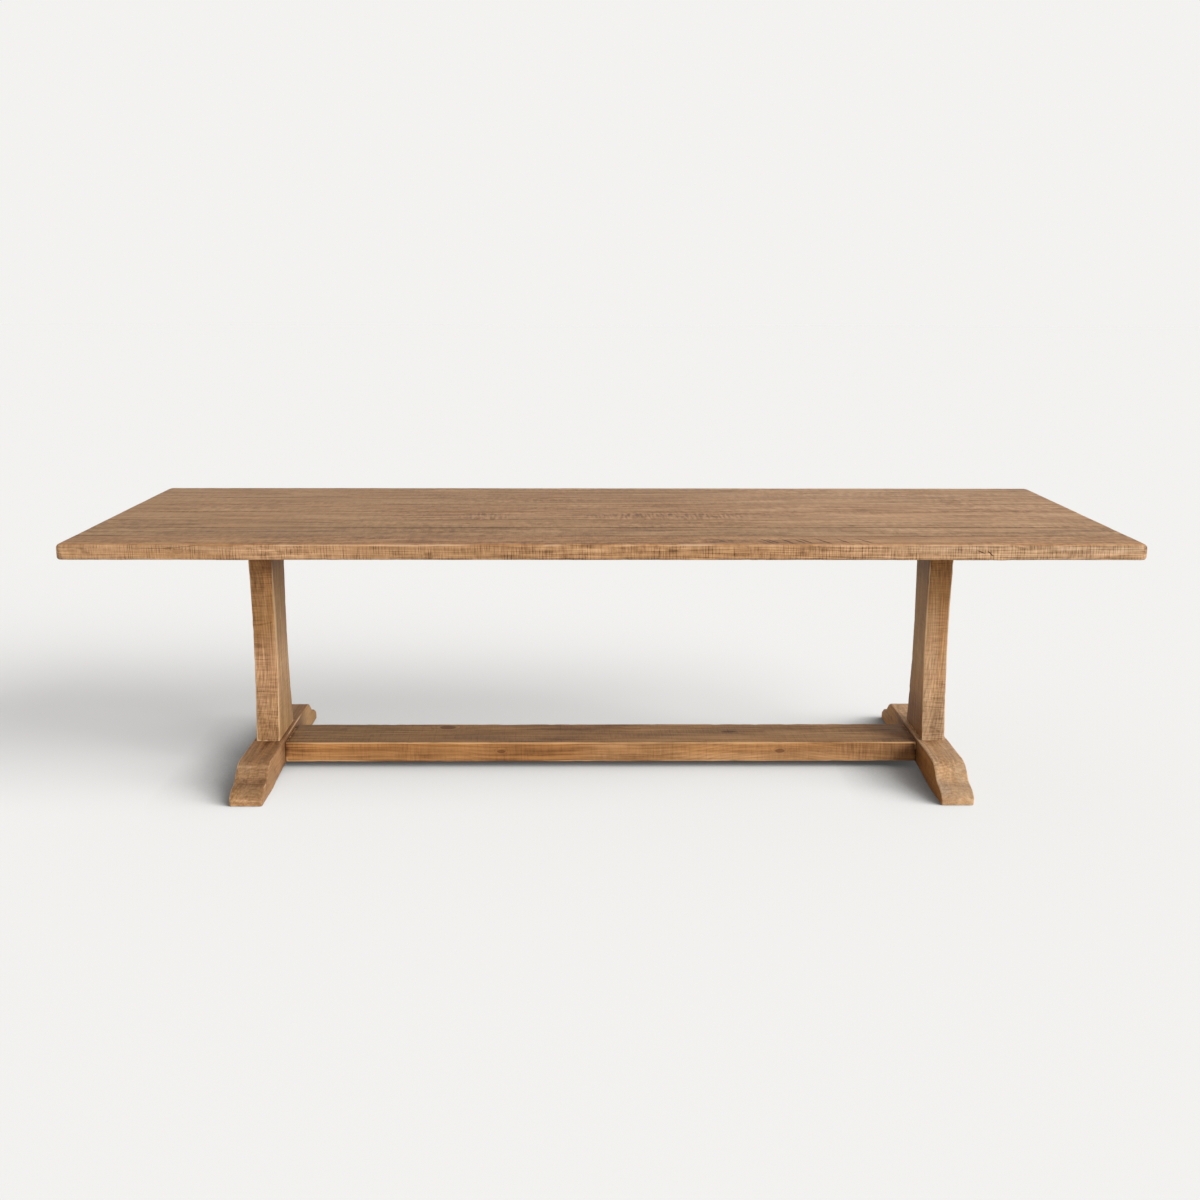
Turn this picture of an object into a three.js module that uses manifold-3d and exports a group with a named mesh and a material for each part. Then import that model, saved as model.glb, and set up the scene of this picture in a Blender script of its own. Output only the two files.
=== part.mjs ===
// A long trestle dining table of old pine. Eight wide planks, joined edge to edge on loose splines, lie on
// two trestles. Each trestle is a waisted post, tenoned into a sledge foot below and into a tapered bearer
// above. A flat stretcher runs between the two feet, low down, and is drawn tight by bolts through the feet.
// Millimetres. +X runs along the table, +Y to the back, +Z up. The origin is on the floor, under the middle.

import * as THREE from "three";
import { mergeVertices } from "three/addons/utils/BufferGeometryUtils.js";
import Module from "manifold-3d";

const wasm = await Module();
wasm.setup();

// Clearances, shared by every joint
const seatGap = 0.3; // between two faces that rest on each other
const slipFit = 0.3; // round a tenon, a spline or a plug in its hole
const overrun = 10; // how far a cutter reaches past the face it cuts
const mergeTolerance = 1e-4;

// The top
const tableHeight = 750;
const topLength = 2800;
const topWidth = 1000;
const topThickness = 42;
const topCornerRadius = 14; // seen from above
const topArris = 5; // the rounding of the top's edges
// The planks from front to back: each one's share of the top's width, and what is screwed to it from below.
const plankShares = [
  { widthShare: 0.128, screwedTo: [] },
  { widthShare: 0.13, screwedTo: ["bearer", "batten"] },
  { widthShare: 0.122, screwedTo: ["bearer"] },
  { widthShare: 0.14, screwedTo: ["batten"] },
  { widthShare: 0.139, screwedTo: ["batten"] },
  { widthShare: 0.126, screwedTo: ["bearer"] },
  { widthShare: 0.11, screwedTo: ["bearer", "batten"] },
  { widthShare: 0.105, screwedTo: [] },
];
const splineThickness = 12;
const splineWidth = 30;
const splineSetback = 70; // from the end of the top to the end of a spline

// The posts
const endOverhang = 388; // from the end of the top to the outer face of a post
const postThickness = 68;
const postFootDepth = 200;
const postWaistDepth = 141;
const postHeadDepth = 170;
const postArris = 3;
const waistHeightShare = 0.57; // of the post's height between its shoulders
const flareShares = [0.62, 0.36]; // how far the foot's flare leans in, and how high that reaches
const tenonThickness = 24;
const tenonWidth = 84;
const footTenonFloor = 40; // the wood left under the lower tenon, above the floor
const headTenonCover = 19; // the wood left over the upper tenon, in the bearer

// The sledge feet
const footLength = 790;
const footWidth = 91;
const footHeight = 88;
const footCrownLength = 510; // the flat stretch on top
const footArris = 3.5;
const archLength = 510; // the hollow cut along the underside
const archRise = 16;
const toeHeight = 17;
// The ogee end, from the crown to the toe: shares of the sloping run, and of the drop from crown to toe.
const shoulderShares = [[0.22, 0.01], [0.31, 0.17], [0.46, 0.44]];
const hollowShares = [[0.53, 0.56], [0.6, 0.62], [0.7, 0.64]];
const toeShares = [[0.82, 0.68], [0.95, 0.84], [1, 1]];

// The bearers
const bearerSetback = 110; // from the edge of the top to the end of a bearer or the batten
const bearerWidth = 90;
const bearerHeight = 55;
const bearerFlatShare = 0.51; // of the bearer's length, before it thins
const bearerEndHeight = 20;
const bearerArris = 2.5;
const bearerSeatThickness = 18; // the wood left above a counterbore

// The batten across the middle of the top
const battenWidth = 70;
const battenHeight = 20;
const battenFlatShare = 0.91;
const battenEndHeight = 10;
const battenArris = 2;

// The stretcher
const stretcherWidth = 175;
const stretcherThickness = 59;
const stretcherSetdown = 9; // from the feet's crown down to the stretcher's upper face
const stretcherArris = 3.5;
const stubWall = 11.5; // the wood left in the foot between the stub tenon and the post's tenon
const stubShoulder = 15.5; // all round the stub tenon

// The bolts that draw the stretcher to the feet
const boltRadius = 4;
const boltSetback = 14; // from the side of the post's tenon to the bolt's axis
const boltHoleEase = 0.5; // how much wider a bolt's hole is than its shank, in radius
const boltHeadFlats = 13; // across the flats of the hexagon
const boltHeadHeight = 5.3;
const counterboreDepth = 16;
const counterboreEase = 1; // round the washer
const washerRadius = 12;
const washerThickness = 2;
const nutSetback = 54; // from the stretcher's shoulder to the barrel nut's axis
const boltPastNut = 14; // from the barrel nut's axis to the bolt's tip
const nutRadius = 7;
const nutLength = 24;

// The screws that hold the top to the bearers
const screwRadius = 4;
const screwHeadRadius = 10;
const screwHeadHeight = 3;
const screwDriveFlats = 13;
const screwDriveHeight = 5;
const screwGrip = 17; // how far a screw reaches into the top
const slotTravel = 8; // room for the top to swell and shrink
const slotEase = 3; // round a screw's flange in its counterbore
const insertWall = 2.5;
const insertPastScrew = 3; // from the screw's tip to the insert's inner end

// The screws that hold the batten
const woodScrewRadius = 2.5;
const woodScrewHeadRadius = 5.2;
const woodScrewHeadHeight = 3.5;
const woodScrewGrip = 22; // how far it reaches into the top

// How finely round things are cut
const roundSteps = 16;
const curveSteps = 10;
const cornerSteps = 3;
const arrisSteps = 2;
const hexagonSides = 6;

// Places worked out from the sizes
const topUnderside = tableHeight - topThickness;
const bearerTop = topUnderside - seatGap;
const bearerUnderside = bearerTop - bearerHeight;
const postTop = bearerUnderside - seatGap;
const postBottom = footHeight + seatGap;
const trestleOffset = topLength / 2 - endOverhang - postThickness / 2;
const stretcherHeight = footHeight - stretcherSetdown - stretcherThickness / 2; // of its middle
const shoulderOffset = trestleOffset - footWidth / 2 - seatGap; // from the middle to the stretcher's shoulder
const footTenonLength = footHeight - footTenonFloor;
const headTenonLength = bearerHeight - headTenonCover;
const stubLength = (footWidth - tenonThickness) / 2 - stubWall;
const stubWidth = stretcherWidth - 2 * stubShoulder;
const stubThickness = stretcherThickness - 2 * stubShoulder;
const boltOffset = tenonWidth / 2 + boltSetback; // from the middle of the stretcher, in y
const boltReach = nutSetback + boltPastNut; // from the stretcher's shoulder to the bolt's tip
const insertRadius = screwRadius + insertWall;
const insertLength = screwGrip + insertPastScrew;
const bearerLength = topWidth - 2 * bearerSetback;
const flatsToRadius = 1 / Math.sqrt(3);

// Materials
const materials = {
  topPine: new THREE.MeshStandardMaterial({ color: 0xa98562, roughness: 0.7, metalness: 0 }),
  framePine: new THREE.MeshStandardMaterial({ color: 0xb0844f, roughness: 0.7, metalness: 0 }),
  hiddenPine: new THREE.MeshStandardMaterial({ color: 0x9c7a56, roughness: 0.8, metalness: 0 }),
  splineBeech: new THREE.MeshStandardMaterial({ color: 0xc9a87c, roughness: 0.7, metalness: 0 }),
  steel: new THREE.MeshStandardMaterial({ color: 0x8f8c86, roughness: 0.4, metalness: 1 }),
  brass: new THREE.MeshStandardMaterial({ color: 0xb08d4a, roughness: 0.4, metalness: 1 }),
};

// A closed three.js geometry as a solid that can be cut and joined.
function solidFrom(geometry) {
  const bare = geometry.index ? geometry.toNonIndexed() : geometry.clone();
  bare.deleteAttribute("normal");
  bare.deleteAttribute("uv");
  const merged = mergeVertices(bare, mergeTolerance);
  const vertProperties = merged.attributes.position.array;
  const triVerts = new Uint32Array(merged.index.array);
  return new wasm.Manifold(new wasm.Mesh({ numProp: 3, vertProperties, triVerts }));
}

// A solid as a geometry that three.js draws.
function geometryFrom(solid) {
  const cut = solid.getMesh();
  const geometry = new THREE.BufferGeometry();
  geometry.setAttribute("position", new THREE.BufferAttribute(cut.vertProperties, cut.numProp));
  geometry.setIndex(new THREE.BufferAttribute(cut.triVerts, 1));
  const faceted = geometry.toNonIndexed();
  faceted.computeVertexNormals();
  return faceted;
}

function meshFrom(name, shape, material) {
  const geometry = shape.isBufferGeometry ? shape : geometryFrom(shape);
  const mesh = new THREE.Mesh(geometry, material);
  mesh.name = name;
  return mesh;
}

// A block between two corners.
function block(low, high) {
  const geometry = new THREE.BoxGeometry(high[0] - low[0], high[1] - low[1], high[2] - low[2]);
  geometry.translate((low[0] + high[0]) / 2, (low[1] + high[1]) / 2, (low[2] + high[2]) / 2);
  return solidFrom(geometry);
}

// A shape drawn in (y, z), extruded along x, with its edges rounded by arris.
function prismAlongX(shape, xLow, xHigh, arris = 0) {
  const geometry = new THREE.ExtrudeGeometry(shape, {
    depth: xHigh - xLow - 2 * arris,
    curveSegments: cornerSteps,
    bevelEnabled: arris > 0,
    bevelThickness: arris,
    bevelSize: arris,
    bevelOffset: -arris,
    bevelSegments: arrisSteps,
  });
  geometry.translate(0, 0, xLow + arris);
  const axes = new THREE.Matrix4().makeBasis(
    new THREE.Vector3(0, 1, 0),
    new THREE.Vector3(0, 0, 1),
    new THREE.Vector3(1, 0, 0),
  );
  return solidFrom(geometry.applyMatrix4(axes));
}

// A shape drawn in (x, y), extruded upwards, with its edges rounded by arris.
function prismUp(shape, zLow, zHigh, arris = 0) {
  const geometry = new THREE.ExtrudeGeometry(shape, {
    depth: zHigh - zLow - 2 * arris,
    curveSegments: cornerSteps,
    bevelEnabled: arris > 0,
    bevelThickness: arris,
    bevelSize: arris,
    bevelOffset: -arris,
    bevelSegments: arrisSteps + 1,
  });
  return solidFrom(geometry.translate(0, 0, zLow + arris));
}

// A round rod on +Z, from zLow to zHigh, straight or tapered.
function rod(radiusLow, radiusHigh, zLow, zHigh, sides = roundSteps) {
  const geometry = new THREE.CylinderGeometry(radiusHigh, radiusLow, zHigh - zLow, sides);
  geometry.rotateX(Math.PI / 2);
  return solidFrom(geometry.translate(0, 0, (zLow + zHigh) / 2));
}

// A hexagon on +Z, measured across its flats.
function hexagon(flats, zLow, zHigh) {
  const radius = flats * flatsToRadius;
  return rod(radius, radius, zLow, zHigh, hexagonSides);
}

// Turns a solid made along +Z to lie along +X.
function alongX(solid) {
  return solid.rotate([0, 90, 0]);
}

// A rectangle with round corners, centred on (middleX, middleY).
function roundedRectangle(width, height, radius, middleX = 0, middleY = 0) {
  const [left, right] = [middleX - width / 2, middleX + width / 2];
  const [low, high] = [middleY - height / 2, middleY + height / 2];
  const shape = new THREE.Shape();
  shape.moveTo(left + radius, low);
  shape.lineTo(right - radius, low);
  shape.absarc(right - radius, low + radius, radius, -Math.PI / 2, 0);
  shape.lineTo(right, high - radius);
  shape.absarc(right - radius, high - radius, radius, 0, Math.PI / 2);
  shape.lineTo(left + radius, high);
  shape.absarc(left + radius, high - radius, radius, Math.PI / 2, Math.PI);
  shape.lineTo(left, low + radius);
  shape.absarc(left + radius, low + radius, radius, Math.PI, 1.5 * Math.PI);
  return shape;
}

// A closed outline made of half an outline, drawn on the +y side, and its mirror image.
function mirroredOutline(half) {
  const points = half.getPoints(curveSteps);
  const mirrored = points.map((point) => new THREE.Vector2(-point.x, point.y)).reverse();
  const whole = [...points, ...mirrored];
  return new THREE.Shape(whole.filter((point, i) => !point.equals(whole[(i + 1) % whole.length])));
}

// Where each plank starts and ends across the table, in y.
function plankSpans() {
  const spans = [];
  let front = -topWidth / 2;
  for (const { widthShare, screwedTo } of plankShares) {
    const back = front + widthShare * topWidth;
    spans.push({ front, back, middle: (front + back) / 2, screwedTo });
    front = back;
  }
  return spans;
}

const planks = plankSpans();

// Where the screws of the bearers or of the batten stand across the table, in y.
function screwRow(carrier) {
  return planks.filter(({ screwedTo }) => screwedTo.includes(carrier)).map(({ middle }) => middle);
}

// A hole in the underside of the top for each screw: {x, y, radius, depth}.
function topHoles() {
  const forInserts = { radius: insertRadius + slipFit, depth: insertLength + slipFit };
  const forWoodScrews = { radius: woodScrewRadius + slipFit, depth: woodScrewGrip + slipFit };
  return [
    ...screwRow("bearer").map((y) => ({ x: -trestleOffset, y, ...forInserts })),
    ...screwRow("bearer").map((y) => ({ x: trestleOffset, y, ...forInserts })),
    ...screwRow("batten").map((y) => ({ x: 0, y, ...forWoodScrews })),
  ];
}

// The whole top as one slab with rounded corners and edges, from which the planks are cut.
function topSlab() {
  const outline = roundedRectangle(topLength, topWidth, topCornerRadius);
  return prismUp(outline, topUnderside, tableHeight, topArris);
}

// The groove for a spline at a seam, or the spline itself, which is the groove less its fit.
function splineBlock(seam, fit) {
  const halfLength = topLength / 2 - splineSetback + fit;
  const halfWidth = splineWidth / 2 + fit;
  const halfThickness = splineThickness / 2 + fit;
  const middle = topUnderside + topThickness / 2;
  return block(
    [-halfLength, seam - halfWidth, middle - halfThickness],
    [halfLength, seam + halfWidth, middle + halfThickness],
  );
}

function makePlank(index) {
  const { front, back } = planks[index];
  const isFirst = index === 0;
  const isLast = index === planks.length - 1;
  const low = isFirst ? front - overrun : front + seatGap / 2;
  const high = isLast ? back + overrun : back - seatGap / 2;
  const reach = topLength / 2 + overrun;
  let plank = topSlab().intersect(
    block([-reach, low, topUnderside - overrun], [reach, high, tableHeight + overrun]),
  );
  if (!isFirst) plank = plank.subtract(splineBlock(front, slipFit));
  if (!isLast) plank = plank.subtract(splineBlock(back, slipFit));
  for (const hole of topHoles().filter(({ y }) => y > front && y < back)) {
    const cutter = rod(hole.radius, hole.radius, topUnderside - overrun, topUnderside + hole.depth);
    plank = plank.subtract(cutter.translate([hole.x, hole.y, 0]));
  }
  return meshFrom(`top_plank_${index + 1}`, plank, materials.topPine);
}

function makeTop() {
  const top = new THREE.Group();
  planks.forEach((plank, index) => top.add(makePlank(index)));
  planks.slice(1).forEach(({ front }, index) => {
    top.add(meshFrom(`plank_spline_${index + 1}`, splineBlock(front, 0), materials.splineBeech));
  });
  return top;
}

// The post's outline in (y, z): flared at the foot, narrow at the waist and wider again at the head.
function postOutline() {
  const [foot, waist, head] = [postFootDepth / 2, postWaistDepth / 2, postHeadDepth / 2];
  const waistRise = (postTop - postBottom) * waistHeightShare;
  const waistHeight = postBottom + waistRise;
  const headRise = postTop - waistHeight;
  const [leanShare, reachShare] = flareShares;
  const half = new THREE.Path();
  half.moveTo(foot, postBottom - overrun);
  half.lineTo(foot, postBottom);
  half.bezierCurveTo(
    foot - (foot - waist) * leanShare,
    postBottom + waistRise * reachShare,
    waist,
    waistHeight - waistRise * reachShare,
    waist,
    waistHeight,
  );
  half.bezierCurveTo(
    waist,
    waistHeight + headRise * reachShare,
    head - (head - waist) * leanShare,
    postTop - headRise * reachShare,
    head,
    postTop,
  );
  half.lineTo(head, postTop + overrun);
  return mirroredOutline(half);
}

// A post tenon, or with a fit, the mortise that takes it.
function postTenon(zLow, zHigh, fit) {
  const [halfThickness, halfWidth] = [tenonThickness / 2 + fit, tenonWidth / 2 + fit];
  return block([-halfThickness, -halfWidth, zLow], [halfThickness, halfWidth, zHigh]);
}

function makePost(sideName) {
  const reach = Math.max(postFootDepth, postHeadDepth);
  const between = block([-reach, -reach, postBottom], [reach, reach, postTop]);
  const body = prismAlongX(postOutline(), -postThickness / 2, postThickness / 2, postArris);
  const lowTenon = postTenon(postBottom - seatGap - footTenonLength, postBottom + overrun, 0);
  const highTenon = postTenon(postTop - overrun, postTop + seatGap + headTenonLength, 0);
  const post = body.intersect(between).add(lowTenon).add(highTenon);
  return meshFrom(`post_${sideName}`, post, materials.framePine);
}

// The foot's outline in (y, z): a flat crown, an ogee down to each toe and a shallow arch beneath.
function footOutline() {
  const [halfCrown, halfFoot, halfArch] = [footCrownLength / 2, footLength / 2, archLength / 2];
  const run = halfFoot - halfCrown;
  const drop = footHeight - toeHeight;
  const place = ([runShare, dropShare]) => [halfCrown + runShare * run, footHeight - dropShare * drop];
  const half = new THREE.Path();
  half.moveTo(halfCrown, footHeight);
  for (const shares of [shoulderShares, hollowShares, toeShares]) {
    half.bezierCurveTo(...place(shares[0]), ...place(shares[1]), ...place(shares[2]));
  }
  half.lineTo(halfFoot, 0);
  half.lineTo(halfArch, 0);
  half.quadraticCurveTo(halfArch / 2, archRise, 0, archRise);
  return mirroredOutline(half);
}

// The cutter for one stretcher bolt: its clearance hole and the counterbore in the foot's outer face.
function boltCutter() {
  const holeRadius = boltRadius + boltHoleEase;
  const through = rod(holeRadius, holeRadius, -footWidth / 2 - overrun, footWidth / 2);
  const counterboreRadius = washerRadius + counterboreEase;
  const counterboreFloor = footWidth / 2 - counterboreDepth;
  const counterbore = rod(counterboreRadius, counterboreRadius, counterboreFloor, footWidth / 2 + overrun);
  return alongX(through.add(counterbore));
}

const boltPlaces = [
  { name: "front", y: -boltOffset },
  { name: "back", y: boltOffset },
];

// A foot for the +X end. Its inner face, on the -x side, takes the stretcher's stub tenon.
function footSolid() {
  let foot = prismAlongX(footOutline(), -footWidth / 2, footWidth / 2, footArris);
  foot = foot.subtract(postTenon(footHeight - footTenonLength - slipFit, footHeight + overrun, slipFit));
  const halfStub = stubWidth / 2 + slipFit;
  const halfStubHeight = stubThickness / 2 + slipFit;
  const stubMortise = block(
    [-footWidth / 2 - overrun, -halfStub, stretcherHeight - halfStubHeight],
    [-footWidth / 2 + stubLength + slipFit, halfStub, stretcherHeight + halfStubHeight],
  );
  foot = foot.subtract(stubMortise);
  for (const { y } of boltPlaces) {
    foot = foot.subtract(boltCutter().translate([0, y, stretcherHeight]));
  }
  return foot;
}

// The outline in (y, z) of a bearer or a batten that thins towards its ends.
function taperedOutline(flatShare, height, endHeight) {
  const half = new THREE.Path();
  half.moveTo(bearerLength / 2, bearerTop);
  half.lineTo(bearerLength / 2, bearerTop - endHeight);
  half.lineTo((bearerLength / 2) * flatShare, bearerTop - height);
  return mirroredOutline(half);
}

// A slot along y with round ends.
function slot(radius, travel, zLow, zHigh) {
  const outline = roundedRectangle(2 * radius, 2 * radius + travel, radius);
  return prismUp(outline, zLow, zHigh);
}

function makeBearer(sideName) {
  const outline = taperedOutline(bearerFlatShare, bearerHeight, bearerEndHeight);
  let bearer = prismAlongX(outline, -bearerWidth / 2, bearerWidth / 2, bearerArris);
  bearer = bearer.subtract(
    postTenon(bearerUnderside - overrun, bearerUnderside + headTenonLength + slipFit, slipFit),
  );
  const seat = bearerTop - bearerSeatThickness;
  for (const y of screwRow("bearer")) {
    const shankSlot = slot(screwRadius + boltHoleEase, slotTravel, seat - overrun, bearerTop + overrun);
    const headSlot = slot(screwHeadRadius + slotEase, slotTravel, bearerUnderside - overrun, seat);
    bearer = bearer.subtract(shankSlot.add(headSlot).translate([0, y, 0]));
  }
  return meshFrom(`bearer_${sideName}`, bearer, materials.hiddenPine);
}

// A trestle is made round its own middle plane, x = 0. Its outer face is towards +x, or at the left towards -x.
function makeTrestle(sideName, side) {
  const trestle = new THREE.Group();
  const foot = meshFrom(`foot_${sideName}`, footSolid(), materials.framePine);
  foot.rotation.z = side > 0 ? 0 : Math.PI;
  trestle.add(foot, makePost(sideName), makeBearer(sideName));
  trestle.position.x = side * trestleOffset;
  return trestle;
}

// The barrel nut stands upright in the stretcher, cross-drilled for its bolt.
function barrelNutSolid() {
  const body = rod(nutRadius, nutRadius, -nutLength / 2, nutLength / 2);
  const threadRadius = boltRadius + slipFit;
  return body.subtract(alongX(rod(threadRadius, threadRadius, -nutRadius - overrun, nutRadius + overrun)));
}

// One end of the stretcher, at +X, as {add, cut}: its stub tenon, and the holes for the bolts and their nuts.
function stretcherEnd() {
  const holeRadius = boltRadius + boltHoleEase;
  const stub = block(
    [shoulderOffset - overrun, -stubWidth / 2, stretcherHeight - stubThickness / 2],
    [shoulderOffset + seatGap + stubLength, stubWidth / 2, stretcherHeight + stubThickness / 2],
  );
  const cutters = boltPlaces.map(({ y }) => {
    const boltHole = alongX(rod(holeRadius, holeRadius, -boltReach - slipFit, stubLength + overrun));
    const nutHole = rod(
      nutRadius + slipFit,
      nutRadius + slipFit,
      -stretcherThickness / 2 - overrun,
      nutLength / 2 + slipFit,
    );
    const placedBoltHole = boltHole.translate([shoulderOffset, y, stretcherHeight]);
    return placedBoltHole.add(nutHole.translate([shoulderOffset - nutSetback, y, stretcherHeight]));
  });
  return { add: stub, cut: cutters[0].add(cutters[1]) };
}

function makeStretcher() {
  const section = roundedRectangle(stretcherWidth, stretcherThickness, stretcherArris, 0, stretcherHeight);
  const end = stretcherEnd();
  let stretcher = prismAlongX(section, -shoulderOffset, shoulderOffset);
  stretcher = stretcher.add(end.add).add(end.add.rotate([0, 0, 180]));
  stretcher = stretcher.subtract(end.cut).subtract(end.cut.rotate([0, 0, 180]));
  return meshFrom("stretcher", stretcher, materials.framePine);
}

// A hexagon bolt on +X with the seat of its head at x = 0 and its shank towards -x.
function stretcherBoltSolid() {
  const shankLength = footWidth - counterboreDepth + washerThickness + 3 * seatGap + boltReach;
  const shank = rod(boltRadius, boltRadius, -shankLength, boltHeadHeight / 2);
  return alongX(shank.add(hexagon(boltHeadFlats, 0, boltHeadHeight)));
}

function washerSolid() {
  const disc = rod(washerRadius, washerRadius, 0, washerThickness);
  const holeRadius = boltRadius + boltHoleEase;
  return alongX(disc.subtract(rod(holeRadius, holeRadius, -overrun, washerThickness + overrun)));
}

// The bolts, washers and barrel nuts at both ends of the stretcher.
function makeStretcherHardware() {
  const hardware = new THREE.Group();
  const shapes = {
    bolt: geometryFrom(stretcherBoltSolid()),
    washer: geometryFrom(washerSolid()),
    nut: geometryFrom(barrelNutSolid()),
  };
  const washerSeat = trestleOffset + footWidth / 2 - counterboreDepth + seatGap;
  for (const [sideName, side] of [["left", -1], ["right", 1]]) {
    for (const { name, y } of boltPlaces) {
      const turn = side > 0 ? 0 : Math.PI;
      const washer = meshFrom(`washer_${sideName}_${name}`, shapes.washer, materials.steel);
      washer.position.set(side * washerSeat, y, stretcherHeight);
      washer.rotation.z = turn;
      const bolt = meshFrom(`stretcher_bolt_${sideName}_${name}`, shapes.bolt, materials.steel);
      bolt.position.set(side * (washerSeat + washerThickness + seatGap), y, stretcherHeight);
      bolt.rotation.z = turn;
      const nut = meshFrom(`barrel_nut_${sideName}_${name}`, shapes.nut, materials.steel);
      nut.position.set(side * (shoulderOffset - nutSetback), y, stretcherHeight);
      hardware.add(washer, bolt, nut);
    }
  }
  return hardware;
}

// A screw with a flanged hexagon head. The flange seats at z = 0 and the shank points up.
function topScrewSolid() {
  const tip = bearerSeatThickness + 2 * seatGap + screwGrip;
  const shank = rod(screwRadius, screwRadius, -screwHeadHeight / 2, tip);
  const flange = rod(screwHeadRadius, screwHeadRadius, -screwHeadHeight, 0);
  const drive = hexagon(screwDriveFlats, -screwHeadHeight - screwDriveHeight, -screwHeadHeight / 2);
  return shank.add(flange).add(drive);
}

// A threaded insert that sits flush with the underside of the top, its mouth at z = 0.
function insertSolid() {
  const boreRadius = screwRadius + slipFit;
  const body = rod(insertRadius, insertRadius, 0, insertLength);
  return body.subtract(rod(boreRadius, boreRadius, -overrun, insertLength + overrun));
}

function makeTopFixings() {
  const fixings = new THREE.Group();
  const screwShape = geometryFrom(topScrewSolid());
  const insertShape = geometryFrom(insertSolid());
  for (const [sideName, side] of [["left", -1], ["right", 1]]) {
    screwRow("bearer").forEach((y, index) => {
      const screw = meshFrom(`top_screw_${sideName}_${index + 1}`, screwShape, materials.steel);
      const seat = bearerTop - bearerSeatThickness - seatGap;
      screw.position.set(side * trestleOffset, y, seat);
      const insert = meshFrom(`top_insert_${sideName}_${index + 1}`, insertShape, materials.brass);
      insert.position.set(side * trestleOffset, y, topUnderside);
      fixings.add(screw, insert);
    });
  }
  return fixings;
}

// A countersunk wood screw, its head's flat face at z = 0 and its shank up, or with a fit, its hole.
function woodScrewSolid(fit) {
  const head = rod(woodScrewHeadRadius + fit, woodScrewRadius + fit, 0, woodScrewHeadHeight);
  const tip = battenHeight + seatGap + woodScrewGrip;
  return head.add(rod(woodScrewRadius + fit, woodScrewRadius + fit, woodScrewHeadHeight / 2, tip));
}

// The batten that keeps the planks flat at the middle of the table, with its countersunk screws.
function makeBatten() {
  const underside = bearerTop - battenHeight;
  const outline = taperedOutline(battenFlatShare, battenHeight, battenEndHeight);
  let batten = prismAlongX(outline, -battenWidth / 2, battenWidth / 2, battenArris);
  const screwShape = geometryFrom(woodScrewSolid(0));
  const group = new THREE.Group();
  screwRow("batten").forEach((y, index) => {
    const mouthRadius = woodScrewHeadRadius + slipFit;
    const countersink = woodScrewSolid(slipFit).add(rod(mouthRadius, mouthRadius, -overrun, 0));
    batten = batten.subtract(countersink.translate([0, y, underside]));
    const screw = meshFrom(`batten_screw_${index + 1}`, screwShape, materials.steel);
    screw.position.set(0, y, underside);
    group.add(screw);
  });
  group.add(meshFrom("batten", batten, materials.hiddenPine));
  return group;
}

const table = new THREE.Group();
table.add(makeTop());
table.add(makeTrestle("left", -1));
table.add(makeTrestle("right", 1));
table.add(makeStretcher());
table.add(makeStretcherHardware());
table.add(makeTopFixings());
table.add(makeBatten());

export default table;
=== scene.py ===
import math

import bmesh
import bpy
import numpy as np
from mathutils import Euler, Matrix, Vector, noise


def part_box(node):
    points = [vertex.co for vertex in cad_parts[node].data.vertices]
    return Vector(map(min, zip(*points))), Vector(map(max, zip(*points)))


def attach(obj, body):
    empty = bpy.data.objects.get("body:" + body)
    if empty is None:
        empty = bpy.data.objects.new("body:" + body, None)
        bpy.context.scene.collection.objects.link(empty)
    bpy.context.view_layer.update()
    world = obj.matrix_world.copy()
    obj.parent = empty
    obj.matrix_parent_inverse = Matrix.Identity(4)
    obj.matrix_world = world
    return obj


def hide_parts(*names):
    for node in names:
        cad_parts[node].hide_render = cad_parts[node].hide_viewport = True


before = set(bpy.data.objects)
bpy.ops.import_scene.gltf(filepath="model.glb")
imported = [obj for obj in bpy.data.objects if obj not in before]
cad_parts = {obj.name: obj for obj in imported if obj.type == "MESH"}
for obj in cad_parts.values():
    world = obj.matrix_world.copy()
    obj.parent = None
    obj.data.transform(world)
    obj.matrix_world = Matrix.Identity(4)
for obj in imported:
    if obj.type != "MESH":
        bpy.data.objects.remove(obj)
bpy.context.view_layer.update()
print("frame loaded with", len(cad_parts), "nodes")

# A long trestle table of old pine, dressed round its fixed frame.
# Lengths are millimetres, until a mesh or a node takes them in metres.
mm = 0.001


def boxOf(node):
    low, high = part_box(node)
    return np.array(low) / mm, np.array(high) / mm


def middleOf(node):
    return sum(boxOf(node)) / 2


def tint(*parts):
    # a screen colour, 0 to 255, as the linear colour that a node takes
    shares = [part / 255 for part in parts]
    return (*[s / 12.92 if s < 0.04045 else ((s + 0.055) / 1.055) ** 2.4 for s in shares], 1.0)


def opaque(colour, amount=1.0):
    return (*[part * amount for part in colour[:3]], 1.0)


white = (1, 1, 1, 1)


# Nodes as sums

class Wire:
    # an output socket that can be added, multiplied and so on
    def __init__(self, graph, socket):
        self.graph, self.socket = graph, socket

    def out(self, name):
        return Wire(self.graph, self.socket.node.outputs[name])

    def maths(self, operation, *values):
        return self.graph.node("Math", values, operation=operation)

    def __abs__(self):
        return self.maths("ABSOLUTE", self)

    def atLeast(self, other):
        return self.maths("MAXIMUM", self, other)


def operatorOf(operation, reflected):
    def method(wire, other):
        return wire.maths(operation, *((other, wire) if reflected else (wire, other)))
    return method


for operation, name in dict(ADD="add", SUBTRACT="sub", MULTIPLY="mul", DIVIDE="truediv", POWER="pow").items():
    setattr(Wire, f"__{name}__", operatorOf(operation, False))
    setattr(Wire, f"__r{name}__", operatorOf(operation, True))


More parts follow.
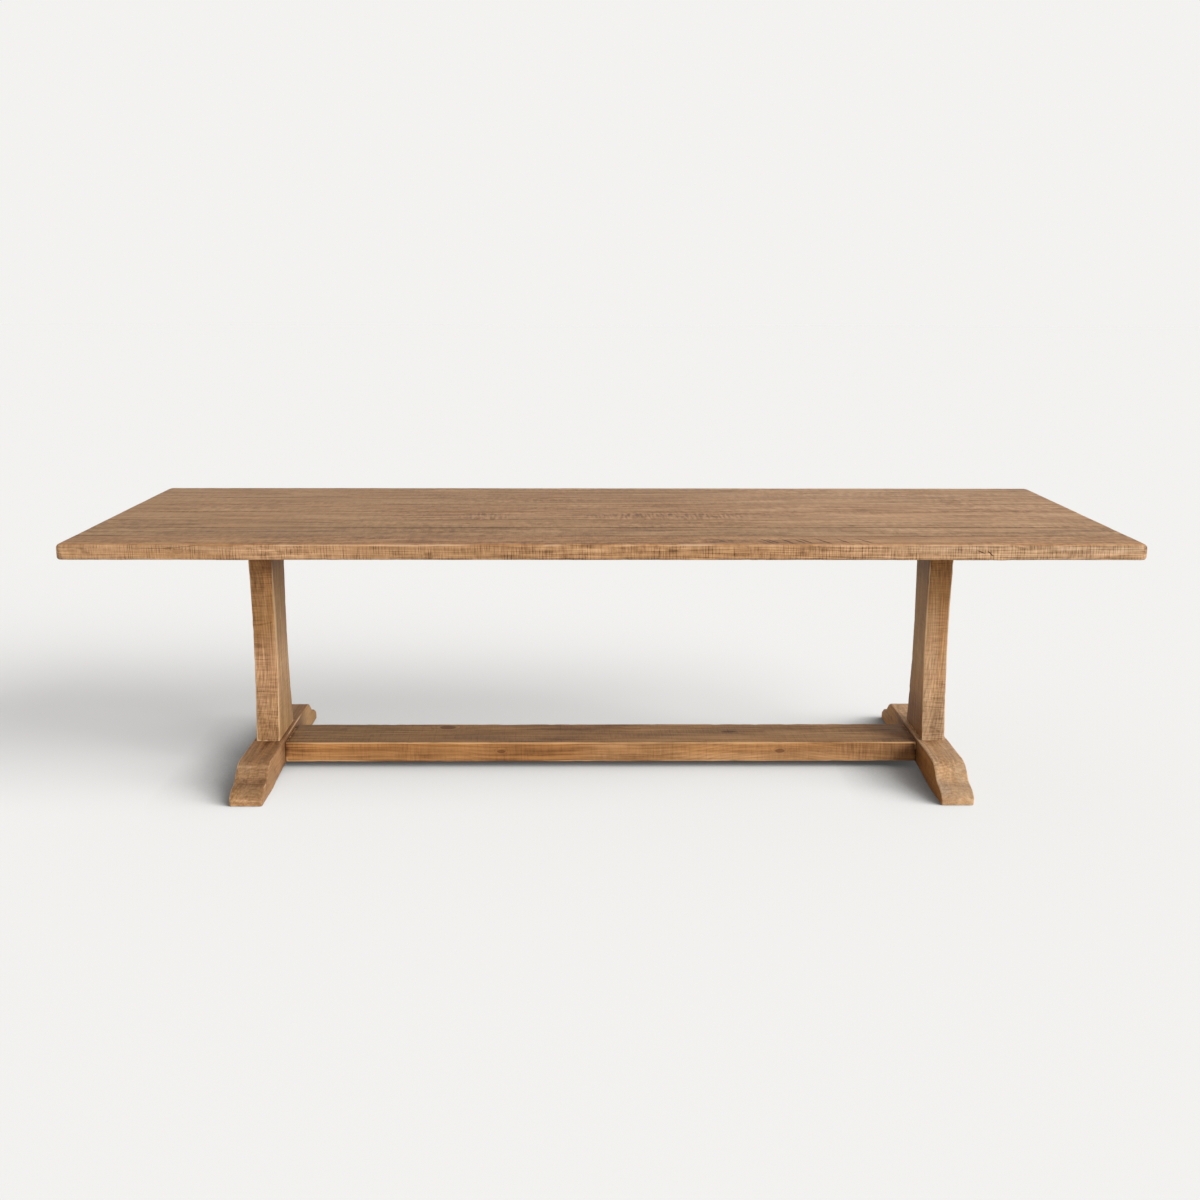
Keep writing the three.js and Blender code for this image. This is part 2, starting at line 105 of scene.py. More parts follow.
class Graph:
    def __init__(self, owner):
        owner.use_nodes = True
        self.owner, self.tree = owner, owner.node_tree
        self.tree.nodes.clear()

    def node(self, kind, values=(), output=0, **settings):
        made = self.tree.nodes.new("ShaderNode" + kind)
        for name, setting in settings.items():
            setattr(made, name, setting)
        for name, value in values.items() if isinstance(values, dict) else enumerate(values):
            if isinstance(value, Wire):
                self.tree.links.new(value.socket, made.inputs[name])
            else:
                made.inputs[name].default_value = value
        return Wire(self, made.outputs[output])

    def mix(self, share, first, second):
        # inputs 6 and 7 of the node are its two colours
        return self.node("Mix", {0: share, 6: first, 7: second}, 2, data_type="RGBA")

    def ease(self, value, low, high, outLow=0, outHigh=1):
        # a smooth step from outLow to outHigh as value goes from low to high
        return self.node("MapRange", [value, low, high, outLow, outHigh], interpolation_type="SMOOTHSTEP")

    def times(self, first, second):
        return self.node("VectorMath", [first, second], operation="MULTIPLY")

    def joined(self, *parts):
        return self.node("CombineXYZ", parts)

    def grainNoise(self, place, perMetre, seed, detail):
        # noise with its fineness along, across and through the board
        shift = (seed, seed * 0.37, seed * 0.71)
        spot = self.node("Mapping", {"Vector": place, "Location": shift, "Scale": perMetre})
        return self.node("TexNoise", {"Vector": spot, "Scale": 1, "Detail": detail}, "Fac")

    def bump(self, height):
        return self.node("Bump", {"Height": height, "Distance": mm})

    def finish(self, shader, output="OutputMaterial"):
        end = self.tree.nodes.new("ShaderNode" + output)
        self.tree.links.new(shader.socket, end.inputs["Surface"])
        return self.owner


# Wood

oldPine = dict(
    seed=1, grain="XYZ", tone=1, darkest=0.12, roughness=0.68,
    # worn is the pale colour of the arrises, for wear and for a painted highlight
    early=tint(196, 156, 118), late=tint(146, 102, 66), grey=tint(150, 129, 108), worn=tint(214, 182, 146),
    dark=tint(72, 45, 26), knotRed=tint(112, 68, 40), warm=(1.08, 0.99, 0.8, 1),
    greyness=0.35, warmth=0.5, wear=0.7,
    darkPowers=(0.94, 1.1, 1.35),  # dark wood is also redder
    # yearly rings round a heart that wanders beside the board
    ringGap=6.5, heart=(14, -95), heartRise=0.012, swing=136, wobble=1.5, lateShare=0.55, lateSharpness=3.2,
    yearSwing=0.16,
    # slow patches, fine grain, then single strokes
    streaks=0.14, bands=0.16, blotches=0.14, lines=0.2, fibres=0.14, mottle=0.08, roughSwing=0.7,
    scratches=0.1, scratchSkew=0.5, specks=0.35, checks=0.5,
    # saw marks: fine chatter, and kerfs that come and go
    slant=0.03, sawWander=1.5, chatter=0.2, kerfs=0.3, kerfsPerMetre=34, kerfWidth=1.1,
    # by the way that a surface faces: colour factors for age and for painted light and shade, shares of saw
    # marks and of figure
    faces={}, sawnFaces={}, figureFaces={},
    # single marks, stains and patches of painted light and shade, and seams to the next boards
    knots=(), knotEyes=0.8, spots=(), stainsAndShade=(), sawn=(), seams=(), seamWidth=15, seamShade=0.3,
)

# how much each pattern stands out in the bump and in the roughness
relief = dict(late=0.05, fibre=0.05, line=0.05, chatter=-0.7, kerf=-0.5, hollow=-0.5, speck=-0.08)
sheen = dict(fibre=0.12, streak=0.1, wearAndHighlight=-0.08)

# each layer of noise: the step of its seed, its detail, and its fineness a metre along, across and
# through the board, which a look may change, as bandGrain does
layers = dict(
    blotch=(0, 2, (3.5, 9, 9)), streak=(3, 3, (1.3, 24, 24)), band=(5, 2, (4, 60, 60)),
    line=(6, 2, (6, 190, 190)), fibre=(7, 2, (10, 430, 430)), mottle=(9, 2, (60, 40, 40)),
    bend=(11, 1, (1.1, 1, 1)), ripple=(13, 2, (7, 26, 26)), chatter=(17, 2, (230, 18, 18)),
    chatterWhere=(19, 2, (7, 20, 20)), kerfWhere=(23, 2, (21, 34, 34)), check=(29, 1, (1.5, 30, 30)),
    checkWhere=(31, 2, (3.5, 9, 9)), speck=(37, 1, (60, 210, 210)), rough=(41, 2, (2.2, 7, 7)),
    scratch=(43, 1, (7, 240, 240)), scratchWhere=(47, 1, (3.4, 8, 8)),
)


class Wood(Graph):
    def __init__(self, name, centre, look):
        super().__init__(bpy.data.materials.new(name))
        self.look, self.centre = look, dict(zip("XYZ", centre))
        self.place = self.node("TexCoord", output="Object")
        axes = self.node("SeparateXYZ", [self.place])
        self.along, self.across, self.through = [axes.out(axis) for axis in look["grain"]]
        self.board = self.joined(self.along, self.across, self.through)
        self.ripple = self.layer("ripple") - 0.5
        self.weights = self.faceWeights()

    def layer(self, name, place=None):
        step, detail, fineness = layers[name]
        fineness = self.look.get(name + "Grain", fineness)
        return self.grainNoise(place or self.board, fineness, self.look["seed"] + step, detail)

    def patches(self, name, place=None):
        # noise with its contrast drawn out, from -0.5 to 0.5
        return self.ease(self.layer(name, place), 0.34, 0.66, -0.5, 0.5)

    def faceWeights(self):
        # how much a point faces each of six ways; the six add up to 1
        facing = self.node("SeparateXYZ", [self.place.out("Normal")])
        weights = {}
        for axis, minus, plus in (("X", "left", "right"), ("Y", "front", "back"), ("Z", "under", "up")):
            part = facing.out(axis)
            forward = part.atLeast(0)
            weights[plus] = forward * forward
            weights[minus] = part * part - weights[plus]
        return weights

    def faceShare(self, key):
        return sum(weight * self.look[key].get(way, 1) for way, weight in self.weights.items())

    def fromSpot(self, at, size, turn=(0, 0, 0)):
        # 0 in the middle of an oval spot and 1 on its edge; the turn is in degrees
        at, size = [[part * mm for part in parts] for parts in (at, size)]
        turn = [math.radians(angle) for angle in turn]
        values = {"Vector": self.place, "Location": at, "Rotation": turn, "Scale": size}
        local = self.node("Mapping", values, vector_type="TEXTURE")
        return self.node("VectorMath", [local], 1, operation="LENGTH")

    def yearRings(self):
        # how late in its year a point grew, a tone for each year, and the knots' eyes and rims
        look = self.look
        _, acrossAxis, throughAxis = look["grain"]
        wander = (self.layer("bend") - 0.5) * (look["swing"] * mm)
        beside = self.across - (self.centre[acrossAxis] + look["heart"][0]) * mm - wander
        above = self.through - (self.centre[throughAxis] + look["heart"][1]) * mm
        above = above + self.along * look["heartRise"]
        ring = (beside * beside + above * above) ** 0.5 / (look["ringGap"] * mm)
        ring = ring + self.ripple * look["wobble"]
        eyes = rims = 0
        for at, size in look["knots"]:
            distance = self.fromSpot(at, size) + self.ripple * 0.5
            ring = ring + self.ease(distance, 3.4, 0.5) * 2.6
            eyes = self.ease(distance, 1.1, 0.7).atLeast(eyes)
            rim = self.ease(distance, 1.5, 1.05) * self.ease(distance, 0.7, 1.05)
            rims = rim.atLeast(rims)
        partOfYear = ring.maths("FRACT", ring)
        year = {"W": (ring - partOfYear) * 0.73 + look["seed"], "Scale": 1}
        yearTone = self.node("TexNoise", year, "Fac", noise_dimensions="1D") - 0.5
        return partOfYear ** look["lateSharpness"], yearTone, eyes, rims

    def sawMarks(self):
        look = self.look
        slant, perMetre, sawnness = look["slant"], look["kerfsPerMetre"], self.faceShare("sawnFaces")
        skewed = self.along + self.across * slant + self.through * (slant * 0.7)
        skewed = skewed + self.ripple * (look["sawWander"] * mm)
        chatter = self.patches("chatter", self.joined(skewed, self.across, self.through))
        chatterWhere = self.ease(self.layer("chatterWhere"), 0.36, 0.64, 0.35, 1.0)
        for at, size, strength in look["sawn"]:
            chatterWhere = chatterWhere + self.ease(self.fromSpot(at, size), 1.1, 0.75) * strength
        at = {"W": skewed * perMetre + look["seed"], "Scale": 1}
        cells = self.node("TexVoronoi", at, "Distance", voronoi_dimensions="1D", feature="DISTANCE_TO_EDGE")
        reach = look["kerfWidth"] * mm * perMetre
        kerf = self.ease(cells, reach, reach * 0.25) * self.ease(self.layer("kerfWhere"), 0.38, 0.64)
        return chatter * chatterWhere * sawnness * look["chatter"], kerf * sawnness * look["kerfs"]

    def scratches(self):
        skew = self.look["scratchSkew"]
        slanting = self.joined(self.along + self.across * skew, self.across - self.along * skew, self.through)
        lines = self.ease(self.layer("scratch", slanting), 0.6, 0.74)
        return lines * self.ease(self.layer("scratchWhere"), 0.5, 0.62) * self.look["scratches"]

    def alongTheGrain(self, value):
        # one colour, or rows of a place along the grain and the colour there
        if not isinstance(value[0], tuple):
            return value
        (start, *colour), *others = value
        colour = opaque(colour)
        for end, *following in others:
            colour = self.mix(self.ease(self.along, start * mm, end * mm), colour, opaque(following))
            start = end
        return colour


def woodMaterial(name, centre, changes):
    look = {**oldPine, **changes}
    wood = Wood(name, centre, look)
    late, yearTone, eyes, rims = wood.yearRings()
    chatter, kerf = wood.sawMarks()
    speck = wood.ease(wood.layer("speck"), 0.66, 0.78)
    names = "blotch", "streak", "band", "line", "fibre", "mottle"
    blotch, streak, band, line, fibre, mottle = [wood.patches(name) for name in names]

    # the tone, a plain number round 1
    broad = streak * look["streaks"] + band * look["bands"] + blotch * look["blotches"]
    fine = line * look["lines"] + fibre * look["fibres"] + mottle * look["mottle"]
    rough = wood.patches("rough") * look["roughSwing"] + 1
    shade = broad * wood.faceShare("figureFaces") + look["tone"] + fine * rough + yearTone * look["yearSwing"]
    shade = shade - wood.scratches() - chatter - kerf - speck * (look["specks"] / 2)
    for edge in look["seams"]:
        nearSeam = wood.ease(abs(wood.across - edge * mm), look["seamWidth"] * mm, 0)
        shade = shade - nearSeam * look["seamShade"] * (streak + 0.7)
    # drying checks, and the darkest marks, are also cut in
    hollow = wood.ease(abs(wood.layer("check") - 0.5), 0.007, 0.001)
    hollow = hollow * wood.ease(wood.layer("checkWhere"), 0.57, 0.66)
    # dark and pale spots, among them painted highlights and painted shade
    for at, size, strength, *turn in look["spots"]:
        mask = wood.ease(wood.fromSpot(at, size, *turn) + wood.ripple * 0.9 + fibre * 0.2, 1.15, 0.6)
        shade = shade + mask * strength
        if strength < -0.5:
            hollow = hollow.atLeast(mask)
    shade = shade.atLeast(look["darkest"])

    colour = wood.mix(late * look["lateShare"], look["early"], look["late"])
    colour = wood.mix(wood.ease(blotch + streak, -0.5, 0.6) * look["greyness"], colour, look["grey"])
    warmPatch = wood.ease(blotch - streak, -0.1, 0.9) * look["warmth"]
    colour = wood.times(colour, wood.mix(warmPatch, white, look["warm"]))
    colour = wood.times(colour, wood.joined(*[shade ** power for power in look["darkPowers"]]))
    # stains, and patches of painted shade, multiply the colour
    for at, size, multiplier, *turn in look["stainsAndShade"]:
        mask = wood.ease(wood.fromSpot(at, size, *turn) + wood.ripple * 0.8 + streak * 0.3, 1.3, 0.6)
        colour = wood.times(colour, wood.mix(mask, white, opaque(multiplier)))
    colour = wood.mix(hollow * look["checks"], colour, look["dark"])
    colour = wood.mix(eyes * look["knotEyes"], colour, look["knotRed"])
    colour = wood.mix(rims * (look["knotEyes"] * 0.9), colour, look["dark"])
    # factors by facing and by place along the grain: partly the wood's age, partly painted light and shade
    ageAndPaintedShade = (0, 0, 0)
    for way, weight in wood.weights.items():
        values = [wood.alongTheGrain(look["faces"].get(way, (1, 1, 1))), weight, ageAndPaintedShade]
        ageAndPaintedShade = wood.node("VectorMath", values, operation="MULTIPLY_ADD")
    colour = wood.times(colour, ageAndPaintedShade)

    # pale wood along the arrises: wear where hands and feet have rubbed them, and a painted highlight where
    # they catch the light
    wearAndHighlight = wood.node("Attribute", output="Fac", attribute_name="wear")
    wearAndHighlight = wood.ease(wearAndHighlight + band * 0.45 + blotch * 0.3, 0.58, 1.0) * look["wear"]
    colour = wood.mix(wearAndHighlight, colour, look["worn"])

    patterns = dict(
        late=late, fibre=fibre, line=line, chatter=chatter, kerf=kerf, hollow=hollow, speck=speck,
        streak=streak, wearAndHighlight=wearAndHighlight,
    )
    height = sum(patterns[name] * share for name, share in relief.items())
    roughness = sum(patterns[name] * share for name, share in sheen.items()) + look["roughness"]
    values = {"Base Color": colour, "Roughness": roughness, "Normal": wood.bump(height)}
    return wood.finish(wood.node("BsdfPrincipled", {**values, "Specular IOR Level": 0.3}))


# Boards as meshes: a row of rings with a grid of points over each end

arcSteps = 2  # steps round each arris
cutPast = 5  # how far a cutter reaches past the wood
rodSides = 40
sharpFrom = 38  # degrees between faces


def spread(length, step, edge=(2.5, 7)):
    # shares of a side, with points close together near its ends
    count = max(2, round((length - 2 * edge[-1]) / step) + 1)
    inner = np.linspace(edge[-1], length - edge[-1], count)
    return np.concatenate([[0, edge[0]], inner, [length - edge[0], length]]) / length


def roundedRing(low, high, radii, shares):
    # a rectangle with round corners, as points in the same order for every ring
    u, v = (low[0], high[0], high[0], low[0]), (low[1], low[1], high[1], high[1])
    inwards = np.array([(1, 1), (-1, 1), (-1, -1), (1, -1)])
    centres = np.column_stack([u, v]) + inwards * np.array(radii)[:, None]

    def arc(corner, start):
        angles = np.radians(start + np.linspace(0, 45, arcSteps + 1))
        turned = np.stack([np.cos(angles), np.sin(angles)], 1)
        return centres[corner] + radii[corner] * turned

    ring = []
    for side in range(4):
        leaving = arc(side, 225 + 90 * side)
        arriving = arc((side + 1) % 4, 270 + 90 * side)
        straight = (arriving[0] - leaving[-1]) * shares[side % 2][1:-1, None]
        ring += [leaving, leaving[-1] + straight, arriving[:-1]]
    return np.concatenate(ring)


def ringAt(axis, place, low, high, radii, shares):
    return np.insert(roundedRing(low, high, radii, shares), axis, place, axis=1)


def tenonedBoard(name, axis, places, middle, look, shares, seed, profile):
    # places are both ends and both shoulders, in order; profile gives two corners of the section
    lower, upper = shoulders = places[1:3]
    half = np.array(look["tenon"]) / 2
    corners, radii = (middle - half, middle + half), [look["tenonArris"]] * 4
    tenons = [ringAt(axis, place, *corners, radii, shares) for place in places]
    ease, rings = look["ease"], []
    inner = np.linspace(lower + ease, upper - ease, round((upper - lower) / look["step"]))
    for place in [lower, *inner, upper]:
        corners = profile(place, ease if place in shoulders else 0)
        rings.append(ringAt(axis, place, *corners, wavyRadii(look, place, seed), shares))
    return boardOf(name, tenons[:2] + rings + tenons[2:], shares)


def endGrid(ring, numbers, firstNew, uCount, vCount):
    # fills the ring with a grid of quads
    def sides(line):
        closed, both = np.concatenate([line, line[:1]]), uCount + vCount
        top, left = closed[both:both + uCount + 1], closed[both + uCount:]
        return closed[:uCount + 1], closed[uCount:both + 1], top[::-1], left[::-1]

    def shareAlong(line):
        steps = np.concatenate([[0], np.cumsum(np.linalg.norm(np.diff(line, axis=0), axis=1))])
        return steps / steps[-1]

    bottom, right, top, left = sides(ring)
    s, t = shareAlong(bottom)[None, :, None], shareAlong(left)[:, None, None]
    corners = (1 - s) * (1 - t) * bottom[0] + s * (1 - t) * bottom[-1]
    corners = corners + (1 - s) * t * top[0] + s * t * top[-1]
    grid = (1 - t) * bottom + t * top + (1 - s) * left[:, None] + s * right[:, None] - corners
    ids = np.zeros((vCount + 1, uCount + 1), int)
    ids[0], ids[:, -1], ids[-1], ids[:, 0] = sides(numbers)
    inside = (vCount - 1, uCount - 1)
    ids[1:-1, 1:-1] = firstNew + np.arange(inside[0] * inside[1]).reshape(inside)
    quads = np.stack([ids[:-1, :-1], ids[:-1, 1:], ids[1:, 1:], ids[1:, :-1]], -1).reshape(-1, 4)
    return grid[1:-1, 1:-1].reshape(-1, 3), quads


def boardOf(name, rings, shares):
    uCount, vCount = [len(share) - 1 + 2 * arcSteps for share in shares]
    rings = np.array(rings)
    total = rings.size // 3
    numbers = np.arange(total).reshape(rings.shape[:2])
    near, far = numbers[:-1], numbers[1:]
    points = [rings.reshape(-1, 3)]
    faces = [np.stack([near, np.roll(near, -1, 1), np.roll(far, -1, 1), far], -1).reshape(-1, 4)]
    for end in (0, -1):
        inner, quads = endGrid(rings[end], numbers[end], total, uCount, vCount)
        points.append(inner)
        faces.append(quads)
        total += len(inner)
    mesh = bpy.data.meshes.new(name)
    mesh.from_pydata(np.concatenate(points) * mm, [], np.concatenate(faces).tolist())
    edit = bmesh.new()
    edit.from_mesh(mesh)
    bmesh.ops.recalc_face_normals(edit, faces=edit.faces)
    return placed(name, meshFrom(edit, mesh))


def meshFrom(edit, mesh):
    edit.to_mesh(mesh)
    edit.free()
    return mesh


def placed(name, data):
    piece = bpy.data.objects.new(name, data)
    bpy.context.scene.collection.objects.link(piece)
    return piece


def carve(piece, blocks, rods):
    # cuts boxes, and round rods given as (one end, other end, radius)
    edit = bmesh.new()
    for low, high in blocks:
        size, middle = np.subtract(high, low) * mm, np.add(high, low) / 2 * mm
        bmesh.ops.create_cube(edit, size=1, matrix=Matrix.Translation(middle) @ Matrix.Diagonal((*size, 1)))
    for start, end, radius in rods:
        start, end = Vector(start) * mm, Vector(end) * mm
        turn = (end - start).to_track_quat("Z", "Y").to_matrix().to_4x4()
        bmesh.ops.create_cone(
            edit, cap_ends=True, segments=rodSides, radius1=radius * mm, radius2=radius * mm,
            depth=(end - start).length, matrix=Matrix.Translation((start + end) / 2) @ turn,
        )
    cutter = placed("cutter", meshFrom(edit, bpy.data.meshes.new("cutter")))
    cut = piece.modifiers.new("cut", "BOOLEAN")
    cut.operation, cut.solver, cut.object = "DIFFERENCE", "MANIFOLD", cutter
    carved = bpy.data.meshes.new_from_object(piece.evaluated_get(bpy.context.evaluated_depsgraph_get()))
    piece.modifiers.clear()
    piece.data = carved
    carved.name = piece.name
    bpy.data.objects.remove(cutter)


def readPoints(piece, key):
    values = np.empty(len(piece.data.vertices) * 3, np.float32)
    piece.data.vertices.foreach_get(key, values)
    return values.reshape(-1, 3)


def pointsOf(piece):
    return readPoints(piece, "co").astype(float) / mm


def setPoints(piece, points):
    piece.data.vertices.foreach_set("co", (points * mm).astype(np.float32).ravel())
    piece.data.update()


def between(low, values, high):
    # how far each value is from the nearer limit
    return np.minimum(values - low, high - values)


# sizes of the hollows, of the ripple and of the dents
ageing = dict(sizes=(140, 22, 26.5), hollow=0.35, ripple=0.12, dentDepth=2.2, dentFrom=0.12)


def lump(point, size, seed):
    return noise.noise(Vector((point[0] / size + seed, point[1] / size - seed, point[2] / size + 2 * seed)))


def age(piece, faceDistances, still, seed, dent, reach=5.0):
    # hollows on the faces and dents along the arrises, always inwards, and the shader's wear;
    # the two least of a point's distances to the pairs of faces give its nearest arris
    least = np.sort(np.abs(np.array(faceDistances)), axis=0)[:2]
    wear = np.exp(-((np.hypot(least[0], least[1]) / reach) ** 2))
    attribute = piece.data.attributes.new("wear", "FLOAT", "POINT")
    attribute.data.foreach_set("value", wear.astype(np.float32))
    points = pointsOf(piece)
    normals = readPoints(piece, "normal")
    lumps = [[lump(point, size, seed + size) for point in points] for size in ageing["sizes"]]
    broad, fine, knock = np.array(lumps)
    depth = ageing["hollow"] * (0.5 + 0.5 * broad) + ageing["ripple"] * (0.5 + 0.5 * fine)
    dents = np.maximum(0, knock - ageing["dentFrom"]) * dent * ageing["dentDepth"] * wear
    depth = np.maximum(0, depth) + dents
    points -= normals * np.where(still, 0, depth)[:, None]
    setPoints(piece, points)


def dress(piece, node, name, tones):
    piece.data.shade_smooth()
    piece.data.set_sharp_from_angle(angle=math.radians(sharpFrom))
    piece.data.materials.clear()
    piece.data.materials.append(woodMaterial(name, middleOf(node), tones))
    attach(piece, "root")
    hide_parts(node)


def wavyRadii(look, along, seed):
    # radii of a board's long arrises at a place along it
    swing, stretch, step = look["arrisWave"]
    waves = [noise.noise(Vector((along / stretch, corner * step, seed))) for corner in range(4)]
    return [look["arris"] * (1 + swing * wave) for wave in waves]


# The photograph's view

photoView = dict(
    lens=41.289, sensor=36, clip=(0.05, 400), pitch=12.935, yaw=0.6658, roll=0.1463,
    place=(-50.34, -3951.73, 1397.96),
)


def makeCamera(view):
    lens = bpy.data.cameras.new("photo_view")
    lens.lens, lens.sensor_width = view["lens"], view["sensor"]
    lens.clip_start, lens.clip_end = view["clip"]
    camera = placed("photo_view", lens)
    turn = Euler((math.radians(90 - view["pitch"]), 0, -math.radians(view["yaw"]))).to_matrix()
    camera.matrix_world = (turn @ Matrix.Rotation(math.radians(view["roll"]), 3, "Z")).to_4x4()
    camera.location = [part * mm for part in view["place"]]
    bpy.context.scene.camera = camera


makeCamera(photoView)
print("camera placed")

# The top's planks

topLook = dict(
    halfWidth=boxOf("top_plank_8")[1][1], cornerRadius=22, arris=5.5, endArris=13, endArrisUnder=8,
    seamEase=1.3, step=12, frontStep=6, acrossStep=9, throughStep=6, throughInset=10,
    groovePlay=0.3, screwRadius=2.5, dent=0.7, frontDent=2.4, firstSeed=3.1, seedStep=7.7,
    wane=2.8, waneReach=(16, 18), waneLumps=((-932, 26), (932, 14), (1025, 26)),
    lowered=(0, 0.35, 0.1, 0.3, 0, 0.25, 0.1, 0.3), loweredSkin=6, markDepth=9, knotDepth=60,
    early=tint(178, 144, 113), late=tint(138, 104, 76), worn=tint(205, 172, 138),
    # colour factors by facing: the upper face and the front edge grow lighter to the right, partly the wood's
    # tone and partly painted light
    faces=dict(
        left=(0.95, 0.87, 0.75), right=(0.95, 0.87, 0.75), back=(0.95, 0.87, 0.75), under=(0.9, 0.82, 0.72),
        front=(
            (-1000, 1.03, 0.93, 0.78), (-300, 0.9, 0.76, 0.56), (350, 1, 0.87, 0.67),
            (1050, 1.11, 1.08, 1.02),
        ),
        up=((-900, 0.76, 0.66, 0.5), (150, 0.81, 0.7, 0.54), (650, 0.98, 0.89, 0.76)),
    ),
    sawnFaces=dict(up=0.35, front=1.1), figureFaces=dict(front=0.45),
    streaks=0.22, bands=0.32, bandGrain=(4, 48, 48), mottle=0.2, mottleGrain=(60, 34, 34),
    specks=0.8, speckGrain=(16, 62, 62), roughSwing=1.1, scratches=0.2, chatter=0.34, knotEyes=0.3,
    greyness=0.3, warmth=0.25,
)


# slanting strokes: place along the front edge, half length, strength and turn
slantingMarks = [(x, -447, half, 3.4, strength, turn) for x, half, strength, turn in (
    (307, 32, -0.42, -64), (421, 42, -0.6, -68), (436, 36, -0.52, -66), (474, 44, -0.6, -70),
    (505, 38, -0.52, -67), (523, 42, -0.6, -69), (568, 44, -0.56, -66), (621, 36, -0.52, -70),
    (678, 42, -0.56, -67),
)]

# The planks from the front; cast multiplies the upper face's colour.
# A knot is x, y, half length and half width; a mark also has a strength (minus is dark) and a turn.
# Marks of the front edge: x, z, size, strength and turn.
plankLooks = [dict(
    seed=1.7, cast=(0.99, 0.94, 0.87), tone=0.95, heart=(-20, -120), swing=80, ringGap=5.5,
    kerfs=0.5, kerfsPerMetre=120, chatter=0.24, chatterGrain=(340, 30, 30),
    greyness=0.2, lines=0.34, lineGrain=(9, 170, 170), warmth=0.4,
    edgeKnots=(((-1085, -500, 734), (11, 30, 7)),),
    edgeMarks=(
        (966, 731, (13, 12, 1.6), -0.7, 22), (990, 727, (10, 12, 2), -0.75, 43),
        (-870, 737, (48, 8, 5), 0.22, 13), (141, 729, (1.6, 14, 17), -0.45, 4),
        (333, 729, (1.5, 14, 18), -0.4, -3), (-628, 730, (1.4, 12, 17), -0.35, 2),
        (-665, 732, (1.4, 12, 15), -0.3, -2), (-520, 728, (20, 10, 14), -0.14),
    ),
    marks=(
        (-490, -455, 58, 30, -0.22, -12), (-1060, -470, 16, 12, -0.35), (1085, -388, 14, 7, -0.3),
        (1050, -373, 340, 6, -0.2), *slantingMarks,
    ),
    stainsAndShade=(((0, -489, 750), (8000, 13, 4), (1.12, 1.03, 0.9)),),
), dict(
    seed=12.3, cast=(0.97, 0.98, 0.96), tone=0.93, heart=(18, -80), knots=((-520, -300, 13, 9),),
    marks=((0, -243, 1500, 7, -0.18), (1050, -371, 340, 6, -0.2)),
), dict(
    seed=23.9, cast=(1.04, 1.05, 1.03), tone=0.99, heart=(-8, -110), knots=((136, -191, 20, 12),),
    marks=(
        (688, -217, 13, 12, -0.38), (-1170, -200, 60, 14, -0.2),
        (1110, -100, 5, 30, -0.2, 14), (1215, -100, 5, 34, -0.2, 16),
        (0, -241, 1500, 6, -0.18), (-150, -121, 560, 7, -0.2),
    ),
), dict(
    seed=34.1, cast=(1.02, 1.01, 1.01), heart=(10, -140), kerfs=0.34, chatterGrain=(120, 14, 14),
    sawn=(((180, -60, 750), (260, 60, 60), 3.2), ((-330, -60, 750), (90, 60, 60), 3.2)),
    knots=((1241, -57, 16, 11),),
    marks=((-340, -8, 64, 30, -0.16), (370, -30, 46, 26, -0.14)),
), dict(
    seed=45.7, cast=(1, 0.98, 0.97), heart=(-24, -90), marks=((780, 60, 40, 26, -0.14, 30),),
), dict(
    seed=56.3, cast=(0.99, 1, 1.01), tone=1.02, heart=(0, -120), knots=((1073, 214, 24, 40),),
    marks=((-170, 280, 26, 12, -0.22),),
), dict(
    seed=67.9, cast=(0.97, 0.98, 1.02), tone=0.99, heart=(22, -100), knots=((-322, 350, 30, 14),),
    marks=((850, 297, 60, 12, -0.16), (1185, 345, 36, 12, -0.16)),
), dict(seed=78.1, cast=(0.97, 0.98, 1), heart=(-14, -90))]


def plankRing(x, low, high, index, isFirst, isLast, shares):
    look, radius = topLook, topLook["cornerRadius"]
    pastCorner = max(0, abs(x) - (high[0] - radius))
    planInset = radius - math.sqrt(max(0, radius ** 2 - pastCorner ** 2))
    narrowing = 1 - (pastCorner / radius) ** 2
    ends = [low[1] + (planInset if isFirst else 0), high[1] - (planInset if isLast else 0)]
    wave = noise.noise(Vector((x / 55, index * 9.1, 0.3)))
    outer = look["arris"] * (1 + 0.5 * wave) * max(0.2, narrowing)
    seam = look["seamEase"] * (1 + 0.5 * noise.noise(Vector((x / 35, index * 5.3, 4.2))))
    front, back = outer if isFirst else seam, outer if isLast else seam
    ring = roundedRing((ends[0], low[2]), (ends[1], high[2]), [front, back, back, front], shares)
    if isFirst:  # the lower front arris is waney, but for a few lumps
        bare = 1 - max(math.exp(-(((x - at) / width) ** 2)) for at, width in look["waneLumps"])
        lift = look["wane"] * bare * (0.75 + 0.35 * noise.noise(Vector((x / 90, 2.7, 1.9))))
        inwards, upwards = look["waneReach"]
        nearFront = np.clip(1 - (ring[:, 0] - ends[0]) / inwards, 0, 1) ** 2
        nearBottom = np.clip(1 - (ring[:, 1] - low[2]) / upwards, 0, 1)
        ring[:, 1] += lift * nearFront * nearBottom * narrowing
    if pastCorner:  # the end is rounded over, less so round its corners
        pastSide = (ends[0] - planInset + radius - ring[:, 0]) * isFirst
        pastSide = np.maximum(pastSide, (ring[:, 0] - ends[1] - planInset + radius) * isLast)
        reach = np.hypot(pastCorner, np.clip(pastSide, 0, None))
        share = (ring[:, 1] - low[2]) / (high[2] - low[2]) * 2 - 1
        for half, size in ((1, look["endArris"]), (-1, look["endArrisUnder"])):
            arc = size * pastCorner / reach
            gap = np.clip(1 - (radius - reach) / arc, 0, 1)
            drop = arc * (1 - np.sqrt(1 - gap ** 2))
            ring[:, 1] -= half * drop * np.clip(half * share, 0, 1)
    return np.insert(ring, 0, x, axis=1)


